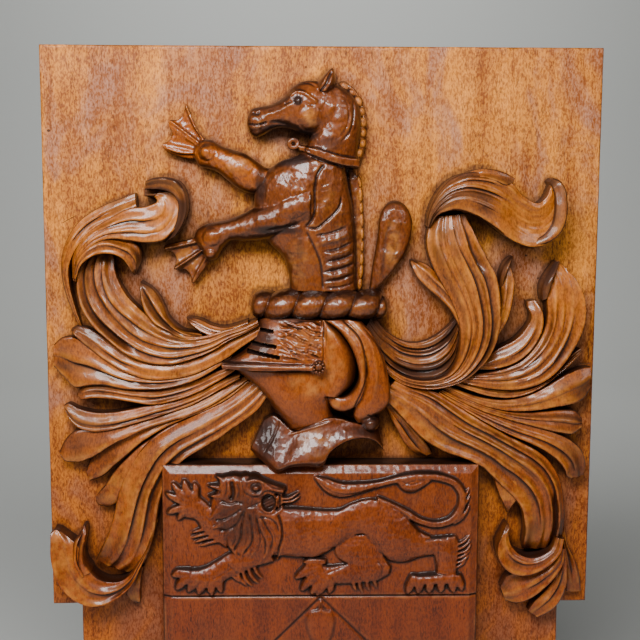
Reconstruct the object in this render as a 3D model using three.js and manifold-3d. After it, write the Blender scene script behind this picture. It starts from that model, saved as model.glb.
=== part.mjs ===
// Carved coat of arms: one wooden panel with a shield, a helmet with a wreath and a crest, and mantling.
// Millimetres, +Z up, the back face on y = 0, the carving towards -Y, z = 0 at the middle of the wide board.
import * as THREE from "three";
import Module from "manifold-3d";
import { mergeVertices } from "three/addons/utils/BufferGeometryUtils.js";

// The boards
const carvingWidth = 594;       // widest spread of the mantling
const sideMargin = 3;           // bare wood beside the mantling
const topMargin = 24;           // bare wood over the crest's ear
const boardThickness = 28;
const lowerStep = 32;           // how far the lower board steps in on each side
const footMargin = 18;          // bare wood under the shield's point
const wideBoardDrop = 7;        // bare wood under the lowest curl of the wide board

// The shield
const shieldWidth = 346;
const shieldHeight = 434;
const shieldFace = 33;          // face over the board's front
const shieldStraight = 0.44;    // share of its height down which the sides run straight
const bevelWidth = 9.5;
const bevelDrop = 5;
const chiefDepth = 147;         // top of the shield to the groove under the chief
const grooveWidth = 2.4;
const grooveDepth = 1.6;
const lozengeRise = 108;        // half the height of the incised lozenge
const lozengeSpread = 108;      // half its width
const lozengeGap = 1;           // from the chief's groove to the lozenge's top
const grooveInset = 1.5;        // from the shield's side to the groove's end

// The carving
const reliefScale = 1;          // all heights of the mantling, helmet and crest
const fluteDepth = 0.14;        // depth of a flute, a share of the leaf's height
const leafEdge = 0.76;          // height of a leaf's edge, a share of its crown
const edgeLap = 0.4;            // neighbouring forms lap each other by this much, on the drawn width
const sinkDepth = 4;            // how far each carved form reaches into the board
const collarRing = { x: -31.5, z: 204, outer: 7, wire: 2.7, height: 22 };
const studs = [                 // round bosses: x, z, radius, foot height, rise
  [-122.4, 194.6, 9, 22, 12],   // far wrist
  [-4.6, -30, 6.6, 44, 10],     // pivot of the visor
  [53, -95, 10, 10, 22],        // ball under the drapery
  [-14.5, 230.5, 12.5, 32, 6],  // cheek
  [-27, 248, 4.2, 33, 5],       // eye
  [-119, 89, 9, 15, 16],        // heel of the near wrist
];
const visorSlots = [            // from x, to x, z, height of the slot's floor at each end
  [-68, -53, 6, 24, 33],
  [-76, -49, -6, 22, 37],
  [-80, -46, -17.5, 30, 40],
];
const slotHeight = 4;
const clearHeight = 60;         // over everything carved, where the slots' cuts end
const pointInset = 1.2;         // the bevel at the shield's point, a multiple of its width at the sides
const roundSides = 12;

// Leaves of the mantling. A row is one cross-section: upper or left edge x, z, other edge x, z, height.
const leaves = {
  upperScrollRim: { flutes: [0],
    rows: [[-261, 4, -259, 5, 8], [-276, 52, -269, 53, 24], [-277, 76, -268, 74, 31], [-270, 103, -258, 95, 34], [-255, 124, -243, 111, 33], [-236, 137, -229, 120, 31], [-199, 152, -197, 136, 25]] },
  upperScroll: { flutes: [-0.3, 0.35],
    rows: [[-266, 62, -262, 61, 26], [-263, 90, -252, 86, 35], [-248, 111, -239, 98, 37], [-228, 124, -224, 103, 37], [-205, 136, -204, 101, 36], [-187, 138.5, -182, 99, 35], [-178, 141.5, -165, 104, 34], [-175.5, 143.5, -151, 127, 32], [-175.5, 145, -151, 141, 30], [-177, 146.5, -158, 152, 28], [-179, 147.5, -172, 154, 25]] },
  upperScrollRoll: { flutes: [],
    rows: [[-168, 100, -165, 104, 28], [-157, 106, -159, 113, 34], [-144, 127, -152.5, 131, 40], [-144, 153, -156, 150, 43], [-151, 164, -163, 154, 43], [-164, 169, -171, 156, 42], [-186, 165, -187, 156, 34]] },
  upperScrollLip: { flutes: [],
    rows: [[-150, 136, -157, 133, 27], [-152, 148, -161, 144, 27], [-161, 155, -168, 149, 26], [-189, 156, -189, 148, 20]] },
  upperHook: { flutes: [-0.35, 0.3],
    rows: [[-266, 60, -263, 58, 24], [-259, 84, -254, 77, 36], [-250, 97, -243, 85, 38], [-226, 107, -220, 87, 37], [-201, 102, -207, 76, 33], [-194, 93, -204, 70, 31], [-198, 70, -201, 64, 20]] },
  fan: { flutes: [-0.5, -0.1, 0.49],
    rows: [[-70, 19, -68, 12, 36], [-125, 1, -117, -15, 34], [-145, 0, -138, -24, 33], [-165, 6, -162, -31, 32], [-183, 18, -188, -30, 31], [-196, 30, -212, -20, 31], [-206, 40, -232, -4, 30], [-219, 62, -259, 30, 27], [-223, 84, -261, 68, 22], [-226, 92, -252, 84, 18]] },
  fanInnerLeaf: { flutes: [0],
    rows: [[-130, 2, -126, -6, 26], [-152, 8, -146, -4, 30], [-164, 19, -163, 3, 30], [-170, 33, -181, 13, 29], [-176, 44, -191, 26, 27], [-194.5, 58, -195.5, 56, 18]] },
  fanSmallLeaf: { flutes: [],
    rows: [[-80, 17, -80, 12, 30], [-107, 10, -110, -1, 31], [-131, 18, -136, 7, 26], [-146.5, 19, -146, 17, 16]] },
  leaf1: { flutes: [-0.15],
    rows: [[-66, 12, -70, -1, 30], [-140, -25, -136, -41, 29], [-186, -28, -188, -47.5, 27], [-226, -9, -234, -28, 24], [-256, 9, -262, -6, 20], [-270, 7, -271, 4, 12]] },
  leaf2: { flutes: [-0.1],
    rows: [[-96, -20, -100, -25, 27], [-138, -40, -138, -49, 28], [-190, -44, -190, -60, 26], [-214, -37, -214, -59, 25], [-236, -24, -236, -55, 24], [-268, -2, -268, -58, 19], [-280, -3, -279, -48, 16], [-290, -11, -290.5, -36, 13]] },
  leaf3: { flutes: [0],
    rows: [[-92, -32, -96, -40, 24], [-134, -48, -134, -62, 25], [-182, -60, -184, -76, 24], [-248, -53, -250, -69.5, 20], [-265, -63, -265, -68, 14]] },
  leaf4: { flutes: [0.12],
    rows: [[-88, -38, -90, -48, 23], [-158, -70, -159, -83, 24], [-228, -84, -228, -104, 24], [-248, -84, -250, -106, 23], [-265, -80, -266, -102, 20], [-276, -75, -276, -92, 16], [-281, -78, -280, -82, 12]] },
  leaf5: { flutes: [0.2],
    rows: [[-80, -42, -82, -51, 22], [-125, -68, -125, -80, 24], [-170, -86, -170, -96, 24], [-213, -99, -213, -113, 24], [-252, -103, -252, -136, 21], [-270, -106, -270, -141, 18], [-281, -117, -281, -140, 15], [-287, -129, -286, -134, 12]] },
  leaf6: { flutes: [0],
    rows: [[-80, -46, -80, -52, 21], [-125, -76, -123, -81, 22], [-175, -94, -172, -103, 21], [-218, -113, -211, -132, 18], [-252, -136, -240, -158, 13], [-259, -152, -254, -164, 9]] },
  leaf7: { flutes: [],
    rows: [[-152, -96, -148, -103, 19], [-198, -122, -185, -134, 21], [-226, -150, -208, -160, 20], [-248, -181, -222, -184, 17], [-247, -189, -227, -189, 14], [-240, -192.5, -234, -192.5, 10]] },
  longTail: { flutes: [-0.45, -0.05, 0.52],
    rows: [[-70, -44, -56, -62, 22], [-84, -54, -68, -80, 24], [-103, -70, -88, -96, 25], [-168, -101, -150, -137, 27], [-186, -114, -164, -152, 27], [-200, -130, -172, -170, 27], [-221, -170, -180, -205, 26], [-234, -219, -190, -243, 25], [-243, -238, -199, -258, 22], [-250, -252, -213, -267, 16]] },
  tailCurl: { flutes: [0.05],
    rows: [[-183, -205, -179, -203, 22], [-194, -239, -190, -236, 27], [-213, -266, -210, -278, 31], [-237, -272, -238, -298, 33], [-248, -266, -256, -299, 34], [-256, -256, -273, -291, 34], [-260, -247, -287, -276, 33], [-262, -239, -294, -259, 32], [-272, -227, -297, -228, 28], [-287, -216, -294, -215, 21]] },
  tailCurlProng: { flutes: [0.1],
    rows: [[-252, -260, -266, -268, 30], [-260, -236, -273, -236, 29], [-259, -212, -262, -211, 18]] },
  tailCurlLip: { flutes: [],
    rows: [[-250, -292, -250, -300, 24], [-289, -273, -288, -283, 19], [-293, -278, -292, -281, 15]] },
  tailDrop: { flutes: [],
    rows: [[-203, -262, -197, -261, 10], [-217, -295, -201, -297, 10], [-206, -304.5, -203, -304.5, 7]] },
  crownLeaf: { flutes: [-0.45, 0.05, 0.55],
    rows: [[110, 118, 113, 116, 30], [111, 132, 119, 128, 36], [118, 150, 128, 133, 40], [131, 166, 140, 135, 43], [147, 174, 153, 132, 45], [184, 170, 180, 117, 45], [208, 153, 206, 100, 40], [218, 146, 221, 96, 38], [227, 143, 237, 99, 36], [233, 146, 249, 109, 35], [238, 153, 255, 124, 34], [240, 159, 256, 139, 32], [242, 164, 245, 163, 24]] },
  crownTip: { flutes: [],
    rows: [[148, 173, 152, 166, 38], [178, 178, 181, 164, 44], [192, 174, 191, 160, 43], [201, 169, 199, 163, 38]] },
  strapTrough: { flutes: [-0.62, -0.2, 0.43],
    rows: [[54, 22, 44, 6, 24], [78, -2, 64, -24, 19], [92, -8, 80, -39, 17], [108, -8, 102, -48, 16], [122, -2, 126, -46, 17], [134, 7, 140, -34, 18], [148, 26, 151, 8, 20]] },
  strap: { flutes: [-0.33, 0.2, 0.6],
    rows: [[60, -19, 57, -25, 27], [88, -43, 84, -51, 29], [106, -47, 106, -57, 31], [124, -45, 130, -56, 33], [138, -36, 154, -47, 35], [145, -20, 172, -31, 37], [147, 0, 185, -9, 39], [137, 38, 190, 38, 40], [126, 58, 186, 62, 39], [110, 97, 167, 98, 36], [117, 128, 151.6, 131.2, 28]] },
  strapLeftLeaf: { flutes: [0.1],
    rows: [[149, -5, 155, 2, 28], [137, 27, 147, 34, 32], [124, 41, 137, 51, 31], [100, 64, 113, 76, 26], [94, 80, 97, 81.5, 17]] },
  strapRightLeaf: { flutes: [0],
    rows: [[162, -34, 176, -24, 28], [186, 22, 199, 19, 31], [190, 40, 204, 38, 29], [191, 56, 206.5, 54, 27], [197, 80, 199, 81, 17]] },
  wave: { flutes: [-0.5, -0.05, 0.4],
    rows: [[148, -42, 146, -50, 24], [202, -34, 209, -59, 31], [218, -25, 232, -54, 32], [231, -10, 251, -42, 32], [242, 22, 277, -3, 32], [241, 38, 283, 20, 31], [242, 50, 282, 40, 29], [244, 62, 275, 57, 26], [252, 81, 255, 80, 15]] },
  waveHook: { flutes: [0.15],
    rows: [[160, -28, 158, -36, 24], [192, -13, 197, -36, 27], [207, -5, 216, -27, 27], [224, 16, 237, 3, 26], [224, 25, 239, 19, 25], [221, 36, 231, 38, 18]] },
  leaf8: { flutes: [0],
    rows: [[146, -49, 145, -55, 24], [185, -58, 185, -67, 27], [229, -54, 226, -63, 27], [264, -29, 258, -42, 24], [281, -15, 282, -20, 18]] },
  leaf9: { flutes: [-0.25, 0.35],
    rows: [[134, -53, 133, -58, 24], [176, -68, 176, -77, 27], [218, -67, 222, -83, 28], [270, -41, 276, -75, 24], [284, -36, 286, -70, 22], [293, -35, 293, -60, 19]] },
  leaf10: { flutes: [0.05],
    rows: [[131, -57, 130, -61, 24], [174, -76, 172, -82, 27], [222, -84, 216, -97, 28], [278, -84, 273, -110, 25], [285, -92, 284, -103, 21]] },
  leaf11: { flutes: [-0.1, 0.45],
    rows: [[128, -60, 126, -63, 25], [171, -81, 167, -89, 27], [273, -116, 257, -138, 26], [285, -128, 266, -149, 25], [289, -156, 273, -160, 19]] },
  longStrap: { flutes: [-0.58, -0.15, 0.2],
    rows: [[80, -47, 62, -66, 28], [122, -61, 91, -95, 30], [143, -73, 110, -114, 30], [203, -110, 176, -146, 29], [238, -129, 203, -172, 29], [252, -142, 214, -184, 28], [267, -182, 223, -209, 27], [269, -206, 224, -222, 25], [264, -240, 224, -241, 16]] },
  strapDrop: { flutes: [],
    rows: [[200, -138, 178, -142, 25], [217, -168, 191, -168, 24], [217, -180, 196, -180, 23], [208, -199, 205, -199, 14]] },
  strapCurl: { flutes: [-0.2],
    rows: [[258, -224, 268, -226, 28], [253, -236, 264, -241, 31], [243, -243, 254, -253, 33], [231, -246, 239, -263, 34], [219, -243, 221, -267, 34], [211, -236, 205, -262, 33], [207, -228, 195, -249, 32], [206, -220, 193, -234, 30], [206, -210, 203, -212, 22]] },
  lowerLeaf: { flutes: [-0.1, 0.45],
    rows: [[262, -236, 269, -238, 27], [256, -247, 268, -254, 28], [231, -263, 247, -285, 27], [206, -272, 219, -303, 22], [200, -284, 206, -301, 18]] },
  lowestLeaf: { flutes: [-0.1],
    rows: [[264, -238, 270, -238, 23], [259, -274, 273, -282, 23], [249, -289, 267, -300, 22], [232, -313, 244, -321, 16]] },
  thinTail: { flutes: [0],
    rows: [[266, -212, 270, -212, 14], [276, -293, 293, -292, 10]] },
  sideLeaf: { flutes: [0.1],
    rows: [[73, -75, 69, -80, 18], [108, -112, 90, -119, 18], [122, -133, 113, -136, 11]] },
};

// Rounded forms of the crest and the helmet, in rows of the same kind.
const crest = {
  spoonTail: { section: "hollow",
    rows: [[50, 46, 60, 50, 14], [54, 78, 83, 78, 19], [59, 110, 95, 110, 22], [64, 136, 91, 136, 20], [74, 144.5, 81, 144.5, 10]] },
  backFin: { section: "flat",
    rows: [[21, 179, 35, 178, 12], [32, 132, 42, 131, 13], [37, 50, 42, 50, 12]] },
  maneFin: { section: "flat",
    rows: [[15, 264, 18, 267, 16], [24, 259, 29, 265, 16], [37, 238, 42, 243, 15], [39, 226, 45, 229, 15], [35, 190, 41, 190, 12]] },
  farArm: { section: "round",
    rows: [[-48, 184, -62, 150, 26], [-59, 179, -73, 151, 30], [-82, 193.5, -92, 158, 32], [-118, 208, -122, 177.5, 29], [-127, 208, -131, 180, 25], [-135, 203, -137, 189, 18]] },
  farHand: { section: "web",
    rows: [[-121, 206, -124, 209, 14], [-124, 208, -131, 215, 14], [-126, 208, -138, 226, 14], [-128, 207, -145, 246, 17], [-129, 206, -149, 233, 12], [-130, 205, -154, 229, 12], [-131, 203, -163, 228, 17], [-132, 202, -163, 222, 17], [-133, 200, -160, 214, 12], [-134, 198, -163, 207, 12], [-135, 196, -171, 203, 17], [-135, 194, -168, 197, 15], [-135, 192, -156, 191, 13], [-134, 189, -140, 187.5, 13]] },
  torso: { section: "round",
    rows: [[-35, 48, 37, 48, 30], [-43, 85, 36, 86, 34], [-68, 118, 34, 122, 39], [-73, 140, 31, 140, 41], [-70, 160, 27, 158, 42], [-59, 176, 25, 170, 41], [-45, 186, 24, 179, 39], [-18, 200, 32, 191, 34]] },
  neck: { section: "round",
    rows: [[-17, 197, 36, 188, 33], [-4, 228, 39, 239, 34], [-2, 240, 33, 252, 32], [4, 262, 14, 267, 22]] },
  head: { section: "round",
    rows: [[22, 216, 24, 258, 31], [-14, 213, -10, 270, 37], [-26, 216, -24, 268, 37], [-43, 220.5, -42, 252, 33], [-71, 210.5, -70, 242, 29], [-80, 221, -80, 234, 23]] },
  ear: { section: "round",
    rows: [[-8, 262, 5, 255, 37], [-5, 270, 13, 266, 38], [8, 283, 10.5, 282, 28]] },
  collar: { section: "flat",
    rows: [[-18, 194, -19, 201, 36], [5, 185, 8, 195, 41], [38, 178, 38, 190, 33]] },
  ringLink: { section: "flat",
    rows: [[-27, 203, -25, 196, 26], [-17, 202, -16, 194, 30]] },
  nearArm: { section: "round",
    rows: [[-14, 165, -14, 118, 46], [-72, 137, -68, 102, 39], [-102, 124, -98, 101, 32], [-135, 112, -118, 80, 27], [-138, 104, -125, 86, 20]] },
  nearHand: { section: "web",
    rows: [[-137, 104, -169, 96.5, 17], [-134, 101, -170.5, 92, 17], [-131, 97, -160, 88, 12], [-129, 94, -157, 80, 12], [-128, 92, -160, 70, 17], [-126, 90, -150, 71, 12], [-125, 87, -143.5, 66, 12], [-124, 85, -140, 54.5, 17], [-120, 83, -131, 64, 14], [-117, 82, -123, 78, 14]] },
  torse: { section: "round",
    rows: [[-73, 40, -74, 27, 28], [-64, 49, -68, 18, 40], [-50, 47, -62, 20, 34], [-34, 50, -50, 17, 43], [-18, 48, -37, 20, 36], [-3, 50, -21, 17, 44], [11, 48, -6, 20, 36], [22, 50, 8, 17, 43], [33, 47, 23, 20, 35], [45, 49, 37, 17, 41], [57, 46, 51, 20, 33], [63, 45, 60, 19, 36], [68, 36, 67, 29, 24]] },
  visor: { section: "round",
    rows: [[-68, 20, 2, 20, 34], [-80, -11, 31, -10, 46], [-107, -27, 38, -32, 44]] },
  bevor: { section: "round",
    rows: [[-106, -29, 37, -31, 41], [-79, -49, 33, -54, 41], [-60, -69, 12, -70, 40], [-46, -89, 12, -88, 36], [-38, -104, 20, -97, 30]] },
  rim: { section: "flat",
    rows: [[-108, -27, -107, -33, 44], [-8, -28, -8, -35, 49]] },
  gorget: { section: "round",
    rows: [[-64, -94, -79, -126, 24], [-53, -87, -70, -134, 31], [-32, -103, -50, -148, 42], [-20, -99, -36, -142, 46], [6, -88, 0, -140, 47], [18, -89, 8, -127, 44], [30, -94, 24, -116, 40], [56, -103, 58, -114, 31], [66, -112, 70, -122, 24]] },
  drapeInner: { section: "round",
    rows: [[2, 18, 20, 20, 38], [29, -8, 41, -10, 47], [38, -32, 46.5, -38, 48], [36, -46, 43, -54, 47], [22, -63, 30, -79, 42], [13, -64, 18, -81, 39], [8, -60, 8, -72, 35]] },
  drapeOuter: { section: "round",
    rows: [[22, 20, 40, 17, 34], [33, 7, 47, 6, 38], [45, -22, 62, -21, 42], [43, -52, 72, -52, 42], [35, -77, 67, -78, 39], [38, -95, 44, -93, 30]] },
};

// The lion on the chief and the small leaf in the lozenge, heights above the shield's face.
const shieldFigures = {
  lionBody: { section: "round",
    rows: [[-60, -190, -62, -238, 6], [-3, -189, -5, -241, 7], [18, -189, 12, -232, 6], [34, -182, 30, -220, 5.5], [50, -177.5, 46, -217, 6], [66, -180, 60, -230, 7.5], [80, -188, 74, -246, 8.5], [94, -200, 92, -248, 8], [118, -219, 122, -240, 6]] },
  lionHindLeg: { section: "round",
    rows: [[108, -222, 146, -219, 6], [121, -238, 149, -228, 6], [126, -264, 147, -264, 6]] },
  lionHindPaw: { section: "round",
    rows: [[92, -278, 93, -282, 3], [95, -268, 97, -281, 6], [122, -262, 122, -277, 7.5], [148, -266, 149, -280, 6], [153, -276, 153, -281, 3]] },
  lionThigh: { section: "round",
    rows: [[24, -222, 56, -222, 3], [14, -233, 63, -234, 4], [18, -244, 70, -246, 4.5], [34, -252, 76, -256, 4.5]] },
  lionFarLeg: { section: "round",
    rows: [[75, -252, 74, -262, 4], [66, -247, 64, -268, 5], [22, -251, 22, -273, 5.5], [-8, -248, -6, -284, 6.5], [-20, -252, -18, -282, 6], [-28, -262, -26, -270, 3]] },
  lionForeleg: { section: "round",
    rows: [[-58, -232, -52, -247, 6], [-98, -236, -90, -260, 6.5], [-112, -244, -104, -267, 6.5], [-126, -252, -111, -279, 7], [-142, -255, -130, -282, 7], [-155, -255, -148, -276, 6.5], [-161, -262, -158, -270, 4]] },
  lionRaisedLeg: { section: "round",
    rows: [[-98, -205, -104, -232, 5], [-112, -200, -118, -222, 5.5], [-124, -182, -137, -200, 6], [-132, -175, -148, -197, 6.5], [-142, -159, -159, -168, 4.5]] },
  lionMane: { section: "round",
    rows: [[-112, -165, -66, -168, 8], [-120, -180, -56, -190, 9], [-120, -195, -50, -198, 10], [-104, -220, -48, -225, 9.5], [-98, -232, -52, -238, 8], [-88, -240, -62, -243, 6]] },
  lionHead: { section: "round",
    rows: [[-112, -152, -108, -176, 9], [-84, -150, -82, -184, 12], [-70, -150, -70, -178, 13], [-60, -157, -60, -170, 12], [-40, -163, -43, -172, 10.5]] },
  lionJaw: { section: "round",
    rows: [[-66, -168, -72, -182, 9], [-66, -182, -62, -192, 9], [-56, -187, -56, -194, 9], [-42, -184, -43, -188, 6]] },
  lionTail: { section: "round",
    rows: [[60, -174, 60, -181, 6], [109, -199, 106, -206, 6], [125, -202, 124, -210, 6], [138, -198, 141, -206, 6], [147, -186, 155, -190, 6], [148, -173, 156, -171, 6], [141, -163, 147, -157, 6], [108, -156, 108, -148, 6], [63, -164, 61, -157, 6], [18, -175, 17, -158, 7], [2, -168, 1, -153, 6], [-8, -155, -9, -152, 4]] },
  lionTuft: { section: "round",
    rows: [[80, -153, 80, -158, 4], [88, -153, 88, -168, 6], [98, -155, 98, -170, 6], [118, -154, 118, -158, 3]] },
  lozengeLeaf: { section: "round",
    rows: [[-2.5, -293, 0.5, -293, 2], [-3, -302, 1, -302, 3], [-12, -305, 10, -305, 3.5], [-16, -315, 14, -315, 4], [-2, -352, 0, -352, 3]] },
};

// The tables are drawn at these sizes and follow the real ones.
const drawn = { width: 594, top: 283, bottom: -300, shieldTop: -140.5, shieldCentre: -1.25, shieldWidth: 346, chiefDepth: 147, lozengeSpread: 108, lozengeRise: 108 };
const unit = carvingWidth / drawn.width;
const highestPoint = drawn.top * unit;
const lowestCurl = drawn.bottom * unit;
const shieldTop = drawn.shieldTop * unit;
const shieldCentre = drawn.shieldCentre * unit;
const chiefLine = shieldTop - chiefDepth;
const lozengeTop = chiefLine - lozengeGap;
const wideHalf = carvingWidth / 2 + sideMargin;
const wideTop = highestPoint + topMargin;
const wideBottom = lowestCurl - wideBoardDrop;
const panelBottom = shieldTop - shieldHeight - footMargin;
const ground = -boardThickness;

const onPanel = (x, z) => [x * unit, z * unit];
const onChief = (x, z) => [
  shieldCentre + (x - drawn.shieldCentre) * shieldWidth / drawn.shieldWidth,
  shieldTop + (z - drawn.shieldTop) * chiefDepth / drawn.chiefDepth,
];
const onLozenge = (x, z) => [
  shieldCentre + (x - drawn.shieldCentre) * lozengeSpread / drawn.lozengeSpread,
  lozengeTop + (z - drawn.shieldTop + drawn.chiefDepth) * lozengeRise / drawn.lozengeRise,
];

const wasm = await Module();
wasm.setup();

function toSolid(geometry) {
  const bare = geometry.index ? geometry.clone() : geometry;
  bare.deleteAttribute("normal");
  bare.deleteAttribute("uv");
  const merged = mergeVertices(bare, 1e-4);
  return new wasm.Manifold(new wasm.Mesh({
    numProp: 3,
    vertProperties: new Float32Array(merged.attributes.position.array),
    triVerts: new Uint32Array(merged.index.array),
  }));
}

function closedGeometry(points, faces) {
  const geometry = new THREE.BufferGeometry();
  geometry.setAttribute("position", new THREE.Float32BufferAttribute(points.flat(), 3));
  let volume = 0;
  for (const [a, b, c] of faces) {
    const [p, q, r] = [points[a], points[b], points[c]];
    volume += p[0] * (q[1] * r[2] - q[2] * r[1]) - p[1] * (q[0] * r[2] - q[2] * r[0]) + p[2] * (q[0] * r[1] - q[1] * r[0]);
  }
  geometry.setIndex(faces.flatMap(([a, b, c]) => (volume > 0 ? [a, b, c] : [a, c, b])));
  return geometry;
}

// Height across a form, as pairs of place (-1 to 1) and share of the crown's height.
function fluted(lines) {
  const edges = [-1, ...lines, 1];
  const profile = [[-1, leafEdge]];
  for (let i = 1; i < edges.length; i++) {
    profile.push([(edges[i - 1] + edges[i]) / 2, 1]);
    profile.push([edges[i], i < edges.length - 1 ? 1 - fluteDepth : leafEdge]);
  }
  return profile;
}

const sections = {
  round: [-1, -0.66, 0, 0.66, 1].map((t) => [t, 0.5 + 0.5 * Math.sqrt(1 - t * t)]),
  flat: [-1, -0.7, 0.7, 1].map((t) => [t, Math.abs(t) < 1 ? 1 : 0.85]),
  hollow: [-1, -0.72, 0, 0.72, 1].map((t) => [t, 0.8 + 0.2 * Math.sin(Math.PI * Math.abs(t))]),
  web: [[-1, 1], [0, 0.9], [1, 0.72]],
};

// A form between two edges: rows give both edges and the crown's height over the foot plane.
function form(rows, profile, foot, scale, place) {
  const points = [];
  const faces = [];
  const count = profile.length;
  for (const [ax, az, bx, bz, height] of rows) {
    const wider = edgeLap / Math.hypot(bx - ax, bz - az);
    for (const [t, share] of profile) {
      const k = (t * (1 + 2 * wider) + 1) / 2;
      const [x, z] = place(ax + (bx - ax) * k, az + (bz - az) * k);
      points.push([x, foot - height * share * scale, z]);
    }
    for (const k of [-wider, 1 + wider]) {
      const [x, z] = place(ax + (bx - ax) * k, az + (bz - az) * k);
      points.push([x, foot + sinkDepth, z]);
    }
  }
  const step = count + 2;
  const ring = [...Array(count).keys(), count + 1, count];
  for (let i = 0; i < rows.length - 1; i++) {
    for (let j = 0; j < step; j++) {
      const a = i * step + ring[j];
      const b = i * step + ring[(j + 1) % step];
      faces.push([a, b, b + step], [a, b + step, a + step]);
    }
  }
  const last = (rows.length - 1) * step;
  for (let j = 1; j < step - 1; j++) {
    faces.push([ring[0], ring[j + 1], ring[j]], [last + ring[0], last + ring[j], last + ring[j + 1]]);
  }
  return toSolid(closedGeometry(points, faces));
}

// A slab with an outline in x and z, from one y to another.
function slab(outline, back, front) {
  const shape = new THREE.Shape(outline.map(([x, z]) => new THREE.Vector2(x, z)));
  const geometry = new THREE.ExtrudeGeometry(shape, { depth: back - front, bevelEnabled: false });
  geometry.rotateX(Math.PI / 2);      // shape's y becomes z, depth runs to -y
  geometry.translate(0, back, 0);
  return toSolid(geometry);
}

// The shield's outline, moved in by the inset: a straight top and sides, then two arcs to the point.
function shieldOutline(inset) {
  const half = shieldWidth / 2 - inset;
  const top = shieldTop - inset;
  const straight = shieldTop - shieldHeight * shieldStraight;
  const point = shieldTop - shieldHeight + inset * pointInset;
  const sweep = Math.PI / 3;
  const reach = 2 * half * Math.sin(sweep);
  const outline = [[shieldCentre - half, top]];
  const steps = 9;
  for (let i = 0; i <= steps; i++) {
    const angle = (i / steps) * sweep;
    outline.push([shieldCentre + half - 2 * half * Math.cos(angle), straight - (straight - point) * 2 * half * Math.sin(angle) / reach]);
  }
  for (let i = steps - 1; i >= 0; i--) {
    const [x, z] = outline[i + 1];
    outline.push([2 * shieldCentre - x, z]);
  }
  outline.push([shieldCentre + half, top]);
  return outline;
}

// The shield: straight walls, then a bevel up to the face.
function shieldSolid() {
  const outer = shieldOutline(0);
  const inner = shieldOutline(bevelWidth);
  const levels = [[outer, ground + sinkDepth], [outer, ground - shieldFace + bevelDrop], [inner, ground - shieldFace]];
  const points = levels.flatMap(([outline, y]) => outline.map(([x, z]) => [x, y, z]));
  const faces = [];
  const count = outer.length;
  for (let level = 0; level < levels.length - 1; level++) {
    for (let i = 0; i < count; i++) {
      const a = level * count + i;
      const b = level * count + (i + 1) % count;
      faces.push([a, b, b + count], [a, b + count, a + count]);
    }
  }
  const last = (levels.length - 1) * count;
  const cap = (outline) => THREE.ShapeUtils.triangulateShape(outline.map(([x, z]) => new THREE.Vector2(x, z)), []);
  const inwards = faces.length;
  for (const [a, b, c] of cap(inner)) faces.push([last + a, last + b, last + c]);
  for (const [a, b, c] of cap(outer)) faces.push([c, b, a]);
  return toSolid(matchWinding(points, faces, inwards));
}

// Turns the caps to the same sense as the walls, whose edges they share.
function matchWinding(points, faces, firstCap) {
  const walls = new Set(faces.slice(0, firstCap).flatMap(([a, b, c]) => [`${a},${b}`, `${b},${c}`, `${c},${a}`]));
  const clash = faces.slice(firstCap).some(([a, b, c]) => walls.has(`${a},${b}`) || walls.has(`${b},${c}`) || walls.has(`${c},${a}`));
  const turned = faces.map(([a, b, c], i) => (i >= firstCap && clash ? [a, c, b] : [a, b, c]));
  return closedGeometry(points, turned);
}

// An incised line on the shield's face, a wedge to cut away.
function groove(from, to) {
  const [x1, z1] = from;
  const [x2, z2] = to;
  const length = Math.hypot(x2 - x1, z2 - z1);
  const nx = -(z2 - z1) / length * grooveWidth / 2;
  const nz = (x2 - x1) / length * grooveWidth / 2;
  const face = ground - shieldFace;
  const lip = 1;
  const spread = (grooveDepth + lip) / grooveDepth;
  const points = [from, to].flatMap(([x, z]) => [
    [x + nx * spread, face - lip, z + nz * spread], [x - nx * spread, face - lip, z - nz * spread], [x, face + grooveDepth, z]]);
  return toSolid(closedGeometry(points, [[0, 1, 2], [3, 5, 4], [0, 3, 4], [0, 4, 1], [1, 4, 5], [1, 5, 2], [2, 5, 3], [2, 3, 0]]));
}

function stud([x, z, radius, foot, rise]) {
  const geometry = new THREE.SphereGeometry(radius * unit, roundSides, 8);
  geometry.scale(1, rise * reliefScale / (radius * unit), 1);
  geometry.translate(x * unit, ground - foot * reliefScale, z * unit);
  return toSolid(geometry);
}

function ring({ x, z, outer, wire, height }) {
  const geometry = new THREE.TorusGeometry((outer - wire) * unit, wire * unit, 8, roundSides);
  geometry.rotateX(Math.PI / 2);
  geometry.translate(x * unit, ground - height * reliefScale, z * unit);
  return toSolid(geometry);
}

function ringPost({ x, z, outer, wire, height }) {
  const geometry = new THREE.CylinderGeometry((outer - wire) * unit, (outer - wire) * unit, height * reliefScale + sinkDepth, roundSides);
  geometry.translate(x * unit, ground + sinkDepth - (height * reliefScale + sinkDepth) / 2, z * unit);
  return toSolid(geometry);
}

// A visor slot: its floor slopes with the visor's surface.
function slot([fromX, toX, z, fromHeight, toHeight]) {
  const points = [[fromX, fromHeight], [toX, toHeight]].flatMap(([x, height]) => [-1, 1].flatMap((side) => [
    [x * unit, ground - height * reliefScale, (z + side * slotHeight / 2) * unit],
    [x * unit, ground - clearHeight * reliefScale, (z + side * slotHeight / 2) * unit]]));
  return toSolid(closedGeometry(points, [
    [0, 1, 3], [0, 3, 2], [4, 7, 5], [4, 6, 7], [0, 5, 1], [0, 4, 5], [2, 3, 7], [2, 7, 6], [0, 2, 6], [0, 6, 4], [1, 5, 7], [1, 7, 3]]));
}

let panel = slab([
  [-wideHalf, wideTop], [-wideHalf, wideBottom], [-wideHalf + lowerStep, wideBottom], [-wideHalf + lowerStep, panelBottom],
  [wideHalf - lowerStep, panelBottom], [wideHalf - lowerStep, wideBottom], [wideHalf, wideBottom], [wideHalf, wideTop],
], 0, ground);

for (const { flutes, rows } of Object.values(leaves)) {
  panel = panel.add(form(rows, fluted(flutes), ground, reliefScale, onPanel));
}

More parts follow.
